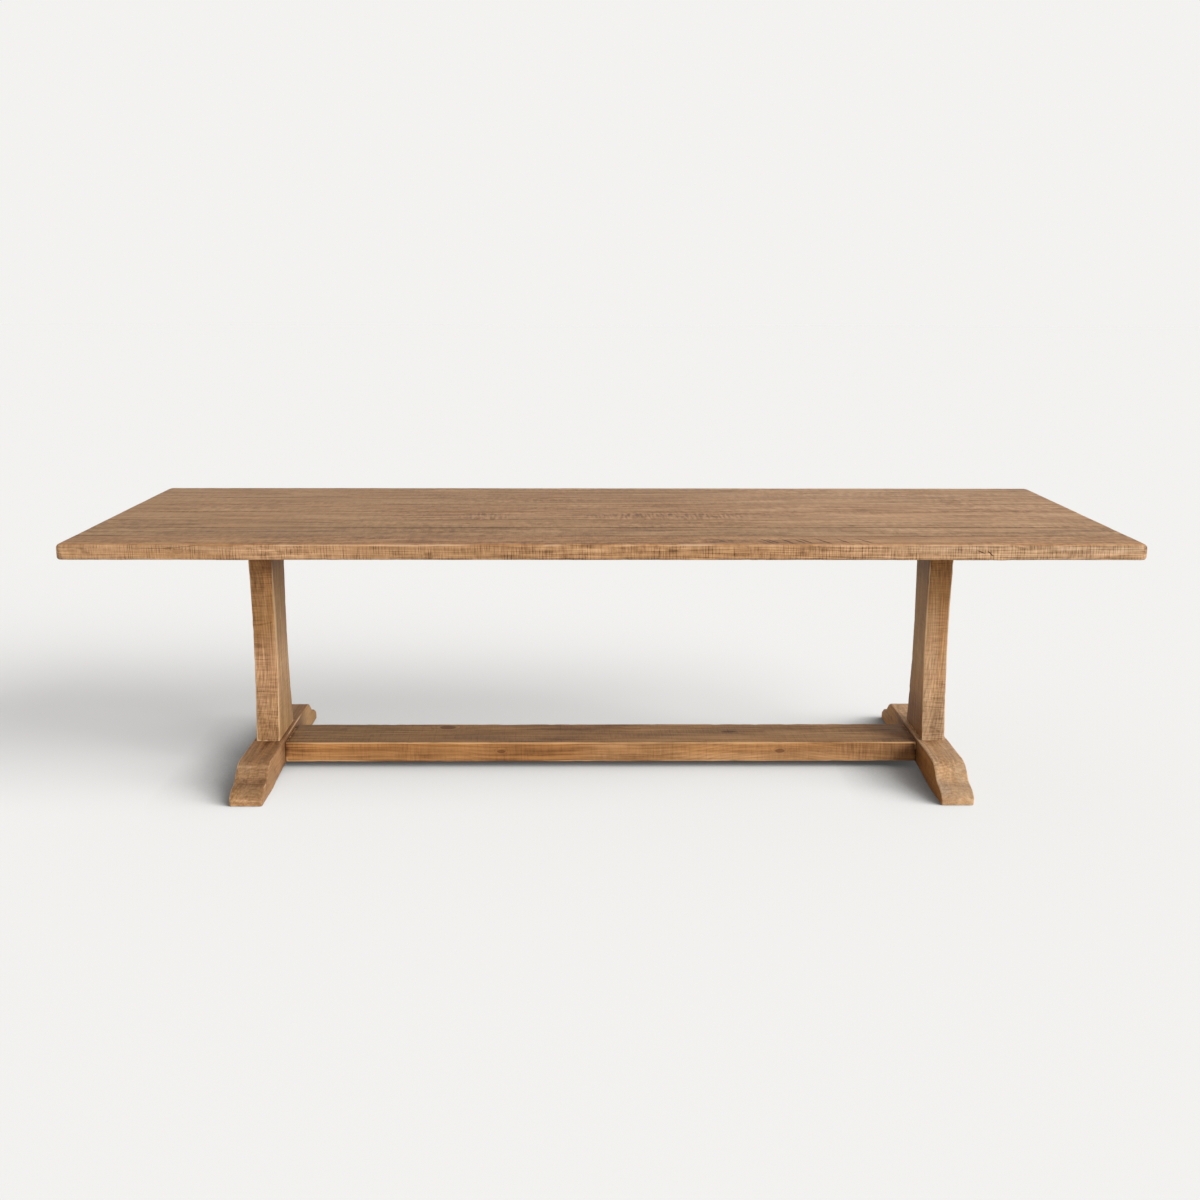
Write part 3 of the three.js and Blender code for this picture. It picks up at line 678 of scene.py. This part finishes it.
def plankHoles(index, low, high):
    # grooves for the splines, and holes for inserts and screws
    play = topLook["groovePlay"]
    splines = [f"plank_spline_{number}" for number in (index, index + 1)]
    boxes = [boxOf(name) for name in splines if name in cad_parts]
    rods = []
    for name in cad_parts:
        isInsert = name.startswith("top_insert")
        if not isInsert and not name.startswith("batten_screw"):
            continue
        holeLow, holeHigh = boxOf(name)
        x, y = (holeLow[:2] + holeHigh[:2]) / 2
        radius = (holeHigh[0] - holeLow[0]) / 2 if isInsert else topLook["screwRadius"]
        if low[1] < y < high[1]:
            rods.append(((x, y, low[2] - cutPast), (x, y, holeHigh[2] + play), radius + play))
    return [(splineLow - play, splineHigh + play) for splineLow, splineHigh in boxes], rods


def makePlank(index):
    node, look, own = f"top_plank_{index + 1}", topLook, plankLooks[index]
    low, high = boxOf(node)
    isFirst, isLast = index == 0, index == len(plankLooks) - 1  # only these have a free side
    straight = high[0] - look["cornerRadius"]
    bend = straight + look["cornerRadius"] * np.sin(np.radians([14, 28, 41, 52, 62, 71, 79, 90]))
    step = look["frontStep"] if isFirst else look["step"]
    inner = np.linspace(-straight, straight, round(2 * straight / step))
    shares = (
        spread(high[1] - low[1], look["acrossStep"]),
        spread(high[2] - low[2] - look["throughInset"], look["throughStep"]),
    )
    rings = [plankRing(x, low, high, index, isFirst, isLast, shares) for x in [*-bend[::-1], *inner, *bend]]
    plank = boardOf(f"plank_{index + 1}", rings, shares)
    carve(plank, *plankHoles(index, low, high))
    points = pointsOf(plank)
    fromSide = np.full(len(points), look["halfWidth"])
    if isFirst or isLast:
        fromSide = points[:, 1] - (low if isFirst else high)[1]
    gaps = [high[0] - np.abs(points[:, 0]), fromSide, between(low[2], points[:, 2], high[2])]
    seed = look["firstSeed"] + index * look["seedStep"]
    age(plank, gaps, False, seed, look["frontDent"] if isFirst else look["dent"])
    points = pointsOf(plank)
    points[:, 2] -= look["lowered"][index] * (points[:, 2] > high[2] - look["loweredSkin"])
    setPoints(plank, points)
    tones = {**look, **own}

    def topMark(x, y, halfLength, halfWidth, strength, turn=0):
        return (x, y, high[2]), (halfLength, halfWidth, look["markDepth"]), strength, (0, 0, turn)

    def edgeMark(x, z, size, strength, turn=0):
        return (x, low[1], z), size, strength, (0, turn, 0)

    tones["knots"] = [((x, y, high[2]), (*size, look["knotDepth"])) for x, y, *size in own.get("knots", ())]
    tones["knots"] += own.get("edgeKnots", ())
    tones["spots"] = [topMark(*mark) for mark in own.get("marks", ())]
    tones["spots"] += [edgeMark(*mark) for mark in own.get("edgeMarks", ())]
    up = [(at, *np.multiply(colour, own["cast"])) for at, *colour in look["faces"]["up"]]
    tones["faces"] = dict(look["faces"], up=up)
    tones["seams"] = [edge for edge in (low[1], high[1]) if abs(edge) < look["halfWidth"] - 1]
    dress(plank, node, f"old top plank {index + 1}", tones)


for plankIndex in range(len(plankLooks)):
    makePlank(plankIndex)
print("top made of", len(plankLooks), "planks")

# The waisted posts

postLook = dict(
    waistDepth=141, headDepth=170, footDepth=200, waistShare=0.57, flare=(0.62, 0.36), arris=3,
    arrisWave=(0.45, 40, 3.3), ease=0.8, tenon=(24, 84), tenonArris=0.8, tenonLength=36, seatGap=0.3,
    footHeight=88, step=7, aroundStep=8, dent=1.2,
)

postTones = dict(
    grain="ZYX", early=tint(196, 150, 106), late=tint(142, 96, 58), grey=tint(150, 126, 100),
    worn=tint(218, 184, 144), chatter=0.36, ringGap=5.5, heart=(20, -60), greyness=0.2, slant=0.01,
    kerfsPerMetre=70, kerfs=0.35, lines=0.32, blotches=0.2, warmth=0.6,
    sawnFaces=dict(left=0.4, right=0.4),
)

# painted light and shade: the factors by facing and height darken the heads under the top, lighten the left
# post's inner side in the middle and darken the right post's inner side; each post's last spot darkens its
# head, painted shade too
postMarks = dict(left=dict(
    seed=101.3,
    spots=(((-976, -76, 436), (24, 30, 3), -0.3, (0, -10, 0)), ((-990, -80, 560), (20, 30, 60), -0.12)),
    faces=dict(
        front=(
            (130, 0.7, 0.7, 0.66), (320, 0.99, 1, 1.06), (450, 0.83, 0.76, 0.58), (560, 0.8, 0.7, 0.54),
            (640, 0.43, 0.32, 0.16),
        ),
        right=(
            (140, 0.76, 0.78, 0.68), (290, 1.08, 1.18, 1.28), (400, 0.82, 0.86, 0.83),
            (500, 0.76, 0.77, 0.64), (560, 0.64, 0.6, 0.46), (640, 0.34, 0.28, 0.19),
        ),
        back=(0.9, 0.84, 0.72), left=(0.84, 0.79, 0.72),
    ),
), right=dict(
    seed=113.7,
    spots=(
        ((980, -90, 122), (30, 30, 2.5), -0.12, (0, 26, 0)),
        ((965, -92, 134), (16, 30, 2.2), -0.1, (0, 26, 0)),
        ((985, -80, 600), (22, 30, 40), -0.12),
    ),
    faces=dict(
        front=(
            (120, 0.79, 0.9, 1.05), (290, 0.93, 0.99, 1.06), (420, 0.81, 0.8, 0.76),
            (560, 0.61, 0.53, 0.37), (640, 0.5, 0.38, 0.18),
        ),
        left=(
            (150, 0.47, 0.35, 0.14), (230, 0.66, 0.58, 0.34), (335, 0.76, 0.77, 0.62),
            (500, 0.59, 0.56, 0.42), (630, 0.3, 0.25, 0.12),
        ),
        back=(0.9, 0.84, 0.72), right=(0.8, 0.77, 0.72),
    ),
))


def bezier(points, steps=24):
    t = np.linspace(0, 1, steps)[:, None]
    a, b, c, d = [np.array(point, float) for point in points]
    return a * (1 - t) ** 3 + 3 * b * t * (1 - t) ** 2 + 3 * c * t ** 2 * (1 - t) + d * t ** 3


def postProfile(look, low, high):
    # heights and half depths, from the lower shoulder to the upper one
    foot, waist, head = [look[key] / 2 for key in ("footDepth", "waistDepth", "headDepth")]
    rise = (high - low) * look["waistShare"]
    middle = low + rise
    upRise = high - middle
    lean, reach = look["flare"]
    overFoot = foot - (foot - waist) * lean, low + rise * reach
    underHead = head - (head - waist) * lean, high - upRise * reach
    lower = bezier([(foot, low), overFoot, (waist, middle - rise * reach), (waist, middle)])
    upper = bezier([(waist, middle), (waist, middle + upRise * reach), underHead, (head, high)])
    both = np.concatenate([lower, upper[1:]])
    return both[:, 1], both[:, 0]


def makePost(side):
    node, look = f"post_{side}", postLook
    low, high = boxOf(node)
    middleX, halfX = (low[0] + high[0]) / 2, (high[0] - low[0]) / 2
    lower = look["footHeight"] + look["seatGap"]
    upper = high[2] - look["tenonLength"] - look["seatGap"]
    heights, depths = postProfile(look, lower, upper)
    seed = postMarks[side]["seed"]
    shares = [spread(width, look["aroundStep"]) for width in (2 * halfX, look["waistDepth"])]

    def profile(z, inset):
        width, depth = halfX - inset, np.interp(z, heights, depths) - inset
        return (middleX - width, -depth), (middleX + width, depth)

    places = low[2], lower, upper, high[2]
    post = tenonedBoard(f"pedestal_{side}", 2, places, (middleX, 0), look, shares, seed, profile)
    points = pointsOf(post)
    depth = np.interp(points[:, 2], heights, depths)
    ends = between(lower, points[:, 2], upper)
    gaps = [halfX - np.abs(points[:, 0] - middleX), depth - np.abs(points[:, 1]), ends]
    age(post, gaps, ends < 0.5, seed, look["dent"])
    dress(post, node, f"old {side} post", {**postTones, **postMarks[side]})


makePost("left")
makePost("right")
print("posts made")

# The sledge feet

footLook = dict(
    crown=510, archRise=16, arch=510, toeHeight=17, arris=3.5, arrisWave=(0.4, 45, 4.1), toeEase=5, step=8,
    aroundStep=8, ogeeStep=2.5,
    # curves from the crown's end to the toe: shares of the run and of the drop
    ogee=(
        ((0, 0), (0.22, 0.01), (0.31, 0.17), (0.46, 0.44)),
        ((0.46, 0.44), (0.53, 0.56), (0.6, 0.62), (0.7, 0.64)),
        ((0.7, 0.64), (0.82, 0.68), (0.95, 0.84), (1, 1)),
    ),
    # mortises: half thickness, half width and depth; then depth, half width and half height
    mortise=(12.3, 42.3, 48.3), stubMortise=(22.3, 72.3, 14.3), boltHole=4.5, washerEase=1, washerSeat=0.3,
    dent=1.8, wearReach=3.2,
)

footTones = dict(
    grain="YXZ", early=tint(190, 150, 112), late=tint(140, 98, 62), grey=tint(150, 128, 104),
    worn=tint(214, 180, 140), chatter=0.3, chatterGrain=(230, 60, 60), heart=(12, -70), ringGap=6,
    greyness=0.3, lateShare=0.35, kerfsPerMetre=60, lines=0.25, blotches=0.2,
    mottle=0.16, mottleGrain=(150, 110, 110), wear=0.9,
)

# on the left foot, a painted highlight on the ridge at the crown's end, painted shade in the cove below it
# and a painted highlight along the toe's upper arris; on both feet the stain is painted shade on the crown
# round the post, and the factors by facing are painted light and shade, darkest on the inner sides
footMarks = dict(left=dict(
    seed=131.9,
    spots=(
        ((-978, -292, 84), (60, 7, 14), 0.34), ((-965, -333, 44), (60, 18, 40), -0.16),
        ((-978, -393, 15), (50, 4, 3), 0.3),
    ),
    stainsAndShade=(((-978, 0, 88), (46, 116, 8), (0.62, 0.54, 0.44)),),
    faces=dict(
        front=(0.76, 0.7, 0.6), back=(0.85, 0.8, 0.7), left=(0.82, 0.8, 0.75),
        up=((-385, 0.56, 0.52, 0.43), (-320, 0.58, 0.55, 0.53), (-240, 0.59, 0.5, 0.37)),
        right=(
            (-190, 0.83, 0.76, 0.63), (-80, 0.42, 0.33, 0.24), (120, 0.43, 0.34, 0.25), (270, 1.05, 1, 0.78),
        ),
    ),
), right=dict(
    seed=149.3, wear=0.6, spots=(((932, 250, 48), (14, 9, 5), -0.5),),
    stainsAndShade=(((978, 0, 88), (46, 116, 8), (0.7, 0.62, 0.5)),),
    faces=dict(
        front=(0.95, 0.95, 0.92), back=(0.9, 0.85, 0.75), right=(0.9, 0.88, 0.82),
        up=((-380, 0.92, 1.05, 1.25), (-280, 1.16, 1.23, 1.28)),
        left=(
            (-200, 0.63, 0.42, 0.14), (-80, 0.4, 0.3, 0.16), (100, 0.5, 0.4, 0.24), (260, 1.03, 0.84, 0.46),
        ),
    ),
))


def footProfile(look, halfLength, height):
    # how high the foot's top and its underside are at each place along it
    run, drop = halfLength - look["crown"] / 2, height - look["toeHeight"]
    out, top = [0.0], [height]
    for shares in look["ogee"]:
        curve = bezier(shares)
        out += list(look["crown"] / 2 + curve[:, 0] * run)
        top += list(height - curve[:, 1] * drop)
    halfArch = look["arch"] / 2

    def topAt(y):
        return np.interp(np.abs(y), out, top)

    def bottomAt(y):
        return look["archRise"] * np.maximum(0, 1 - (y / halfArch) ** 2)
    return topAt, bottomAt


def footHoles(side, middleX, halfX, height):
    # mortises, and the bolts' holes with their counterbores
    look, outward = footLook, math.copysign(1, middleX)
    past = outward * cutPast
    innerFace, outerFace = middleX - outward * halfX, middleX + outward * halfX
    halfThick, halfWide, deep = look["mortise"]
    depth, stubHalfWide, stubHalf = look["stubMortise"]
    stubHeight = middleOf("stretcher")[2]
    stubX = sorted([innerFace - past, innerFace + outward * depth])
    blocks = [
        ((middleX - halfThick, -halfWide, height - deep), (middleX + halfThick, halfWide, height + cutPast)),
        ((stubX[0], -stubHalfWide, stubHeight - stubHalf), (stubX[1], stubHalfWide, stubHeight + stubHalf)),
    ]
    rods = []
    for place in ("front", "back"):
        low, high = boxOf(f"washer_{side}_{place}")
        y, z = ((low + high) / 2)[1:]
        seat = min(abs(low[0]), abs(high[0])) * outward - outward * look["washerSeat"]
        radius = (high[1] - low[1]) / 2 + look["washerEase"]
        rods.append(((seat, y, z), (outerFace + past, y, z), radius))
        rods.append(((innerFace - past, y, z), (seat + outward * 2, y, z), look["boltHole"]))
    return blocks, rods


def makeFoot(side):
    node, look = f"foot_{side}", footLook
    low, high = boxOf(node)
    middleX, halfX = (low[0] + high[0]) / 2, (high[0] - low[0]) / 2
    halfLength, height = high[1], high[2]
    topAt, bottomAt = footProfile(look, halfLength, height)
    seed = footMarks[side]["seed"]
    shares = [spread(width, look["aroundStep"]) for width in (2 * halfX, height)]
    ease = look["toeEase"]
    beforeToe = halfLength - ease
    ogee = np.arange(look["crown"] / 2 - 8, beforeToe, look["ogeeStep"])
    halfStations = [*ogee, *(beforeToe + ease * np.sin(np.radians([0, 35, 65, 90])))]
    crown = np.linspace(-ogee[0], ogee[0], round(2 * ogee[0] / look["step"]))[1:-1]
    rings = []
    for y in [*-np.array(halfStations)[::-1], *crown, *halfStations]:
        lean = max(0, abs(y) - beforeToe) / ease
        inset = ease * (1 - math.sqrt(max(0, 1 - lean ** 2)))
        corner = middleX - halfX + inset, bottomAt(y) + inset * 0.4
        far = middleX + halfX - inset, topAt(y) - inset
        rings.append(ringAt(1, y, corner, far, wavyRadii(look, y, seed), shares))
    foot = boardOf(f"sledge_foot_{side}", rings, shares)
    carve(foot, *footHoles(side, middleX, halfX, height))
    points = pointsOf(foot)
    y, z = points[:, 1], points[:, 2]
    gaps = [halfX - np.abs(points[:, 0] - middleX), halfLength - np.abs(y), between(bottomAt(y), z, topAt(y))]
    age(foot, gaps, z < 0.6, seed, look["dent"], look["wearReach"])
    dress(foot, node, f"old {side} foot", {**footTones, **footMarks[side]})


makeFoot("left")
makeFoot("right")
print("feet made")

# The stretcher

stretcherLook = dict(
    arris=3.5, arrisWave=(0.45, 50, 6.7), arrisSeed=1.3, ease=2.6, tenon=(144, 28), tenonArris=0.8,
    tenonLength=22, seatGap=0.3, step=9, acrossStep=9, throughStep=7, boltHole=4.5, boltPlay=0.5, nutPlay=0.3,
    ageSeed=8.8, dent=1.2,
)

stretcherTones = dict(
    seed=167.1, early=tint(168, 124, 81), late=tint(127, 82, 46), grey=tint(120, 96, 74),
    worn=tint(206, 162, 114), ringGap=5, heart=(30, -75), chatter=0.16, kerfs=0.25, greyness=0.12,
    wobble=1.8, warmth=0.6, blotches=0.24, lines=0.34, streaks=0.22, bands=0.28, wear=0.9,
    # the factors by facing darken the top, painted shade under the table top, most towards the left
    faces=dict(
        front=(
            (-700, 0.94, 0.84, 0.65), (-120, 0.81, 0.68, 0.48), (60, 0.95, 0.93, 0.86),
            (700, 0.97, 0.93, 0.86),
        ),
        up=(
            (-800, 0.63, 0.68, 0.62), (-400, 0.77, 0.8, 0.75), (20, 0.78, 0.8, 0.73), (220, 0.92, 1.01, 1.04),
        ),
        back=(1.04, 0.95, 0.78),
    ),
    knots=(((528, -87, 52.5), (11, 30, 4.5)), ((-296, -87, 51), (9, 30, 4)), ((-466, 56, 79), (18, 12, 40))),
    # painted shade: dark bands in the joints with the feet, a darker right end by the right foot, and a dark
    # line along the lower front arris
    stainsAndShade=(
        ((-934, 0, 50), (16, 130, 60), (0.5, 0.42, 0.35)), ((934, 0, 50), (18, 130, 60), (0.5, 0.42, 0.35)),
        ((950, 0, 50), (130, 200, 120), (0.7, 0.66, 0.6)), ((0, -88, 19), (1200, 9, 5), (0.6, 0.5, 0.4)),
    ),
    spots=(
        ((-500, -87, 36), (40, 20, 9), -0.22), ((387, 13, 79), (22, 10, 8), -0.5),
        ((-760, -87, 28), (110, 20, 6), -0.15, (0, -4, 0)),
    ),
    sawn=(((800, -87, 50), (120, 30, 40), 1.3), ((-560, -87, 50), (60, 30, 30), 0.8)),
)


def stretcherHoles(look, low, high):
    # holes for the barrel nuts, and for the bolts from each end
    rods = []
    for place in ("left_front", "left_back", "right_front", "right_back"):
        nutLow, nutHigh = boxOf(f"barrel_nut_{place}")
        boltLow, boltHigh = boxOf(f"stretcher_bolt_{place}")
        x, y, z = (nutLow + nutHigh) / 2
        outward = math.copysign(1, x)
        tip = min(boltLow[0], boltHigh[0], key=abs) - outward * look["boltPlay"]
        end = outward * (high[0] + cutPast)
        radius = (nutHigh[0] - nutLow[0]) / 2 + look["nutPlay"]
        rods.append(((x, y, low[2] - cutPast), (x, y, nutHigh[2] + look["nutPlay"]), radius))
        rods.append(((tip, y, z), (end, y, z), look["boltHole"]))
    return rods


def makeStretcher():
    node, look = "stretcher", stretcherLook
    low, high = boxOf(node)
    shoulder = high[0] - look["tenonLength"] - look["seatGap"]
    shares = spread(high[1] - low[1], look["acrossStep"]), spread(high[2] - low[2], look["throughStep"])
    places, middle = (-high[0], -shoulder, shoulder, high[0]), (0, (low[2] + high[2]) / 2)

    def profile(x, inset):
        return low[1:] + inset, high[1:] - inset

    seed = look["arrisSeed"]
    stretcher = tenonedBoard("long_stretcher", 0, places, middle, look, shares, seed, profile)
    carve(stretcher, [], stretcherHoles(look, low, high))
    points = pointsOf(stretcher)
    ends = shoulder - np.abs(points[:, 0])
    gaps = [ends, high[1] - np.abs(points[:, 1]), between(low[2], points[:, 2], high[2])]
    age(stretcher, gaps, ends < 0.6, look["ageSeed"], look["dent"])
    dress(stretcher, node, "old stretcher", stretcherTones)


makeStretcher()
print("stretcher made")

# Pieces that keep the frame's own shape

hiddenLook = dict(
    early=tint(176, 142, 104), late=tint(132, 98, 66), grey=tint(146, 124, 100), worn=tint(190, 158, 120),
    chatter=0.3, kerfs=0.4, kerfsPerMetre=60, ringGap=5, greyness=0.3, grain="YXZ",
)
beechLook = dict(
    seed=211, early=tint(205, 172, 130), late=tint(186, 150, 108), ringGap=3, greyness=0, kerfs=0.05,
)
metals = dict(
    steel=dict(colour=tint(176, 173, 166), stain=tint(122, 108, 92), roughness=0.38),
    brass=dict(colour=tint(196, 160, 92), stain=tint(130, 98, 56), roughness=0.34),
)


def metalMaterial(name, look):
    g = Graph(bpy.data.materials.new(name))
    place = g.node("TexCoord", output="Object")
    cloud = g.node("TexNoise", {"Vector": place, "Scale": 160, "Detail": 3}, "Fac")
    scratch = g.grainNoise(place, (900, 900, 90), 2.3, 2)
    stained = g.ease(cloud, 0.5, 0.72) * 0.6
    colour = g.mix(stained, look["colour"], look["stain"])
    roughness = (cloud - 0.5) * 0.3 + stained * 0.2 + look["roughness"]
    values = {"Base Color": colour, "Metallic": 1, "Roughness": roughness, "Normal": g.bump(scratch * 0.02)}
    return g.finish(g.node("BsdfPrincipled", values))


def finishKept(name, material):
    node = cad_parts[name]
    node.data.materials.clear()
    node.data.materials.append(material)


steel, brass = [metalMaterial(f"worn {name}", look) for name, look in metals.items()]
beech = woodMaterial("beech splines", middleOf("plank_spline_4"), beechLook)
for number, name in enumerate(("bearer_left", "bearer_right", "batten")):
    underTop = woodMaterial(f"rough {name}", middleOf(name), {**hiddenLook, "seed": 181 + number * 9})
    finishKept(name, underTop)
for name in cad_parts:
    if name.startswith("plank_spline"):
        finishKept(name, beech)
    elif name.startswith("top_insert"):
        finishKept(name, brass)
    elif any(word in name for word in ("screw", "bolt", "washer", "nut")):
        finishKept(name, steel)
print("fixings and bearers finished")

# Floor, backdrop and light

studio = dict(
    backdrop=tint(243, 242, 240), floorSize=90000, ambient=0.62,
    key=dict(power=2.6, size=30, travels=(-0.694, 0.583, -0.423)),
    # lamps for the floor alone, and how much it shows without them
    floorLamps=(
        dict(power=7.9, size=50, travels=(-0.778, 0.449, -0.438)),
        dict(power=13, size=28, travels=(-0.919, 0.246, -0.309)),
    ),
    floorLit=0.15, floorShows=0.495, floorBounces=0.28,
    # painted close shadows in the floor's glow, darker where the table is near; more light comes from the
    # right, so they lie on the left
    closeReach=240, lightSide=(0.8, -0.25, 0.54), closeDark=0.1, closeRange=(0.36, 1),
)


def seenDirectly(g):
    # 1 for what the camera sees, also in gloss and through glass
    path = g.node("LightPath", output="Is Camera Ray")
    return path + path.out("Is Glossy Ray") + path.out("Is Transmission Ray")


def makeFloor():
    half = studio["floorSize"] / 2 * mm
    mesh = bpy.data.meshes.new("floor")
    corners = [(-half, -half, 0), (half, -half, 0), (half, half, 0), (-half, half, 0)]
    mesh.from_pydata(corners, [], [(0, 1, 2, 3)])
    floor, backdrop = placed("floor", mesh), studio["backdrop"]
    g = Graph(bpy.data.materials.new("pale floor"))
    shades = [opaque(backdrop, studio[key]) for key in ("floorLit", "floorBounces")]
    lit, bounced = [g.node("BsdfDiffuse", [shade]) for shade in shades]
    close = {"Distance": studio["closeReach"] * mm, "Normal": g.joined(*studio["lightSide"])}
    # painted shadow: the glow is darker where the table is close
    openness = g.ease(g.node("AmbientOcclusion", close, "AO", samples=8), *studio["closeRange"])
    colour = g.mix(openness, opaque(backdrop, studio["closeDark"]), backdrop)
    seen = g.node("AddShader", [lit, g.node("Emission", [colour, studio["floorShows"]])])
    above = g.node("MixShader", [seenDirectly(g), bounced, seen])
    # clear from below, to show the underside
    below = g.node("NewGeometry", output="Backfacing")
    floor.data.materials.append(g.finish(g.node("MixShader", [below, above, g.node("BsdfTransparent")])))
    return floor


def makeLamp(name, look):
    lamp = bpy.data.lights.new(name, "SUN")
    lamp.energy, lamp.angle = look["power"], math.radians(look["size"])
    holder = placed(name, lamp)
    holder.matrix_world = Vector(look["travels"]).to_track_quat("-Z", "Y").to_matrix().to_4x4()
    return holder


def makeLight(floor):
    world = bpy.data.worlds.new("studio")
    bpy.context.scene.world = world
    g = Graph(world)
    lit = g.node("Background", [white, studio["ambient"]])
    shown = g.node("Background", [studio["backdrop"], 1])
    g.finish(g.node("MixShader", [seenDirectly(g), lit, shown]), "OutputWorld")
    makeLamp("key", studio["key"])
    floorOnly = bpy.data.collections.new("lit by the floor lamps")
    floorOnly.objects.link(floor)
    for number, look in enumerate(studio["floorLamps"], 1):
        makeLamp(f"floor_lamp_{number}", look).light_linking.receiver_collection = floorOnly


makeLight(makeFloor())
bpy.context.scene.view_settings.view_transform = "Standard"
print("floor and light made")
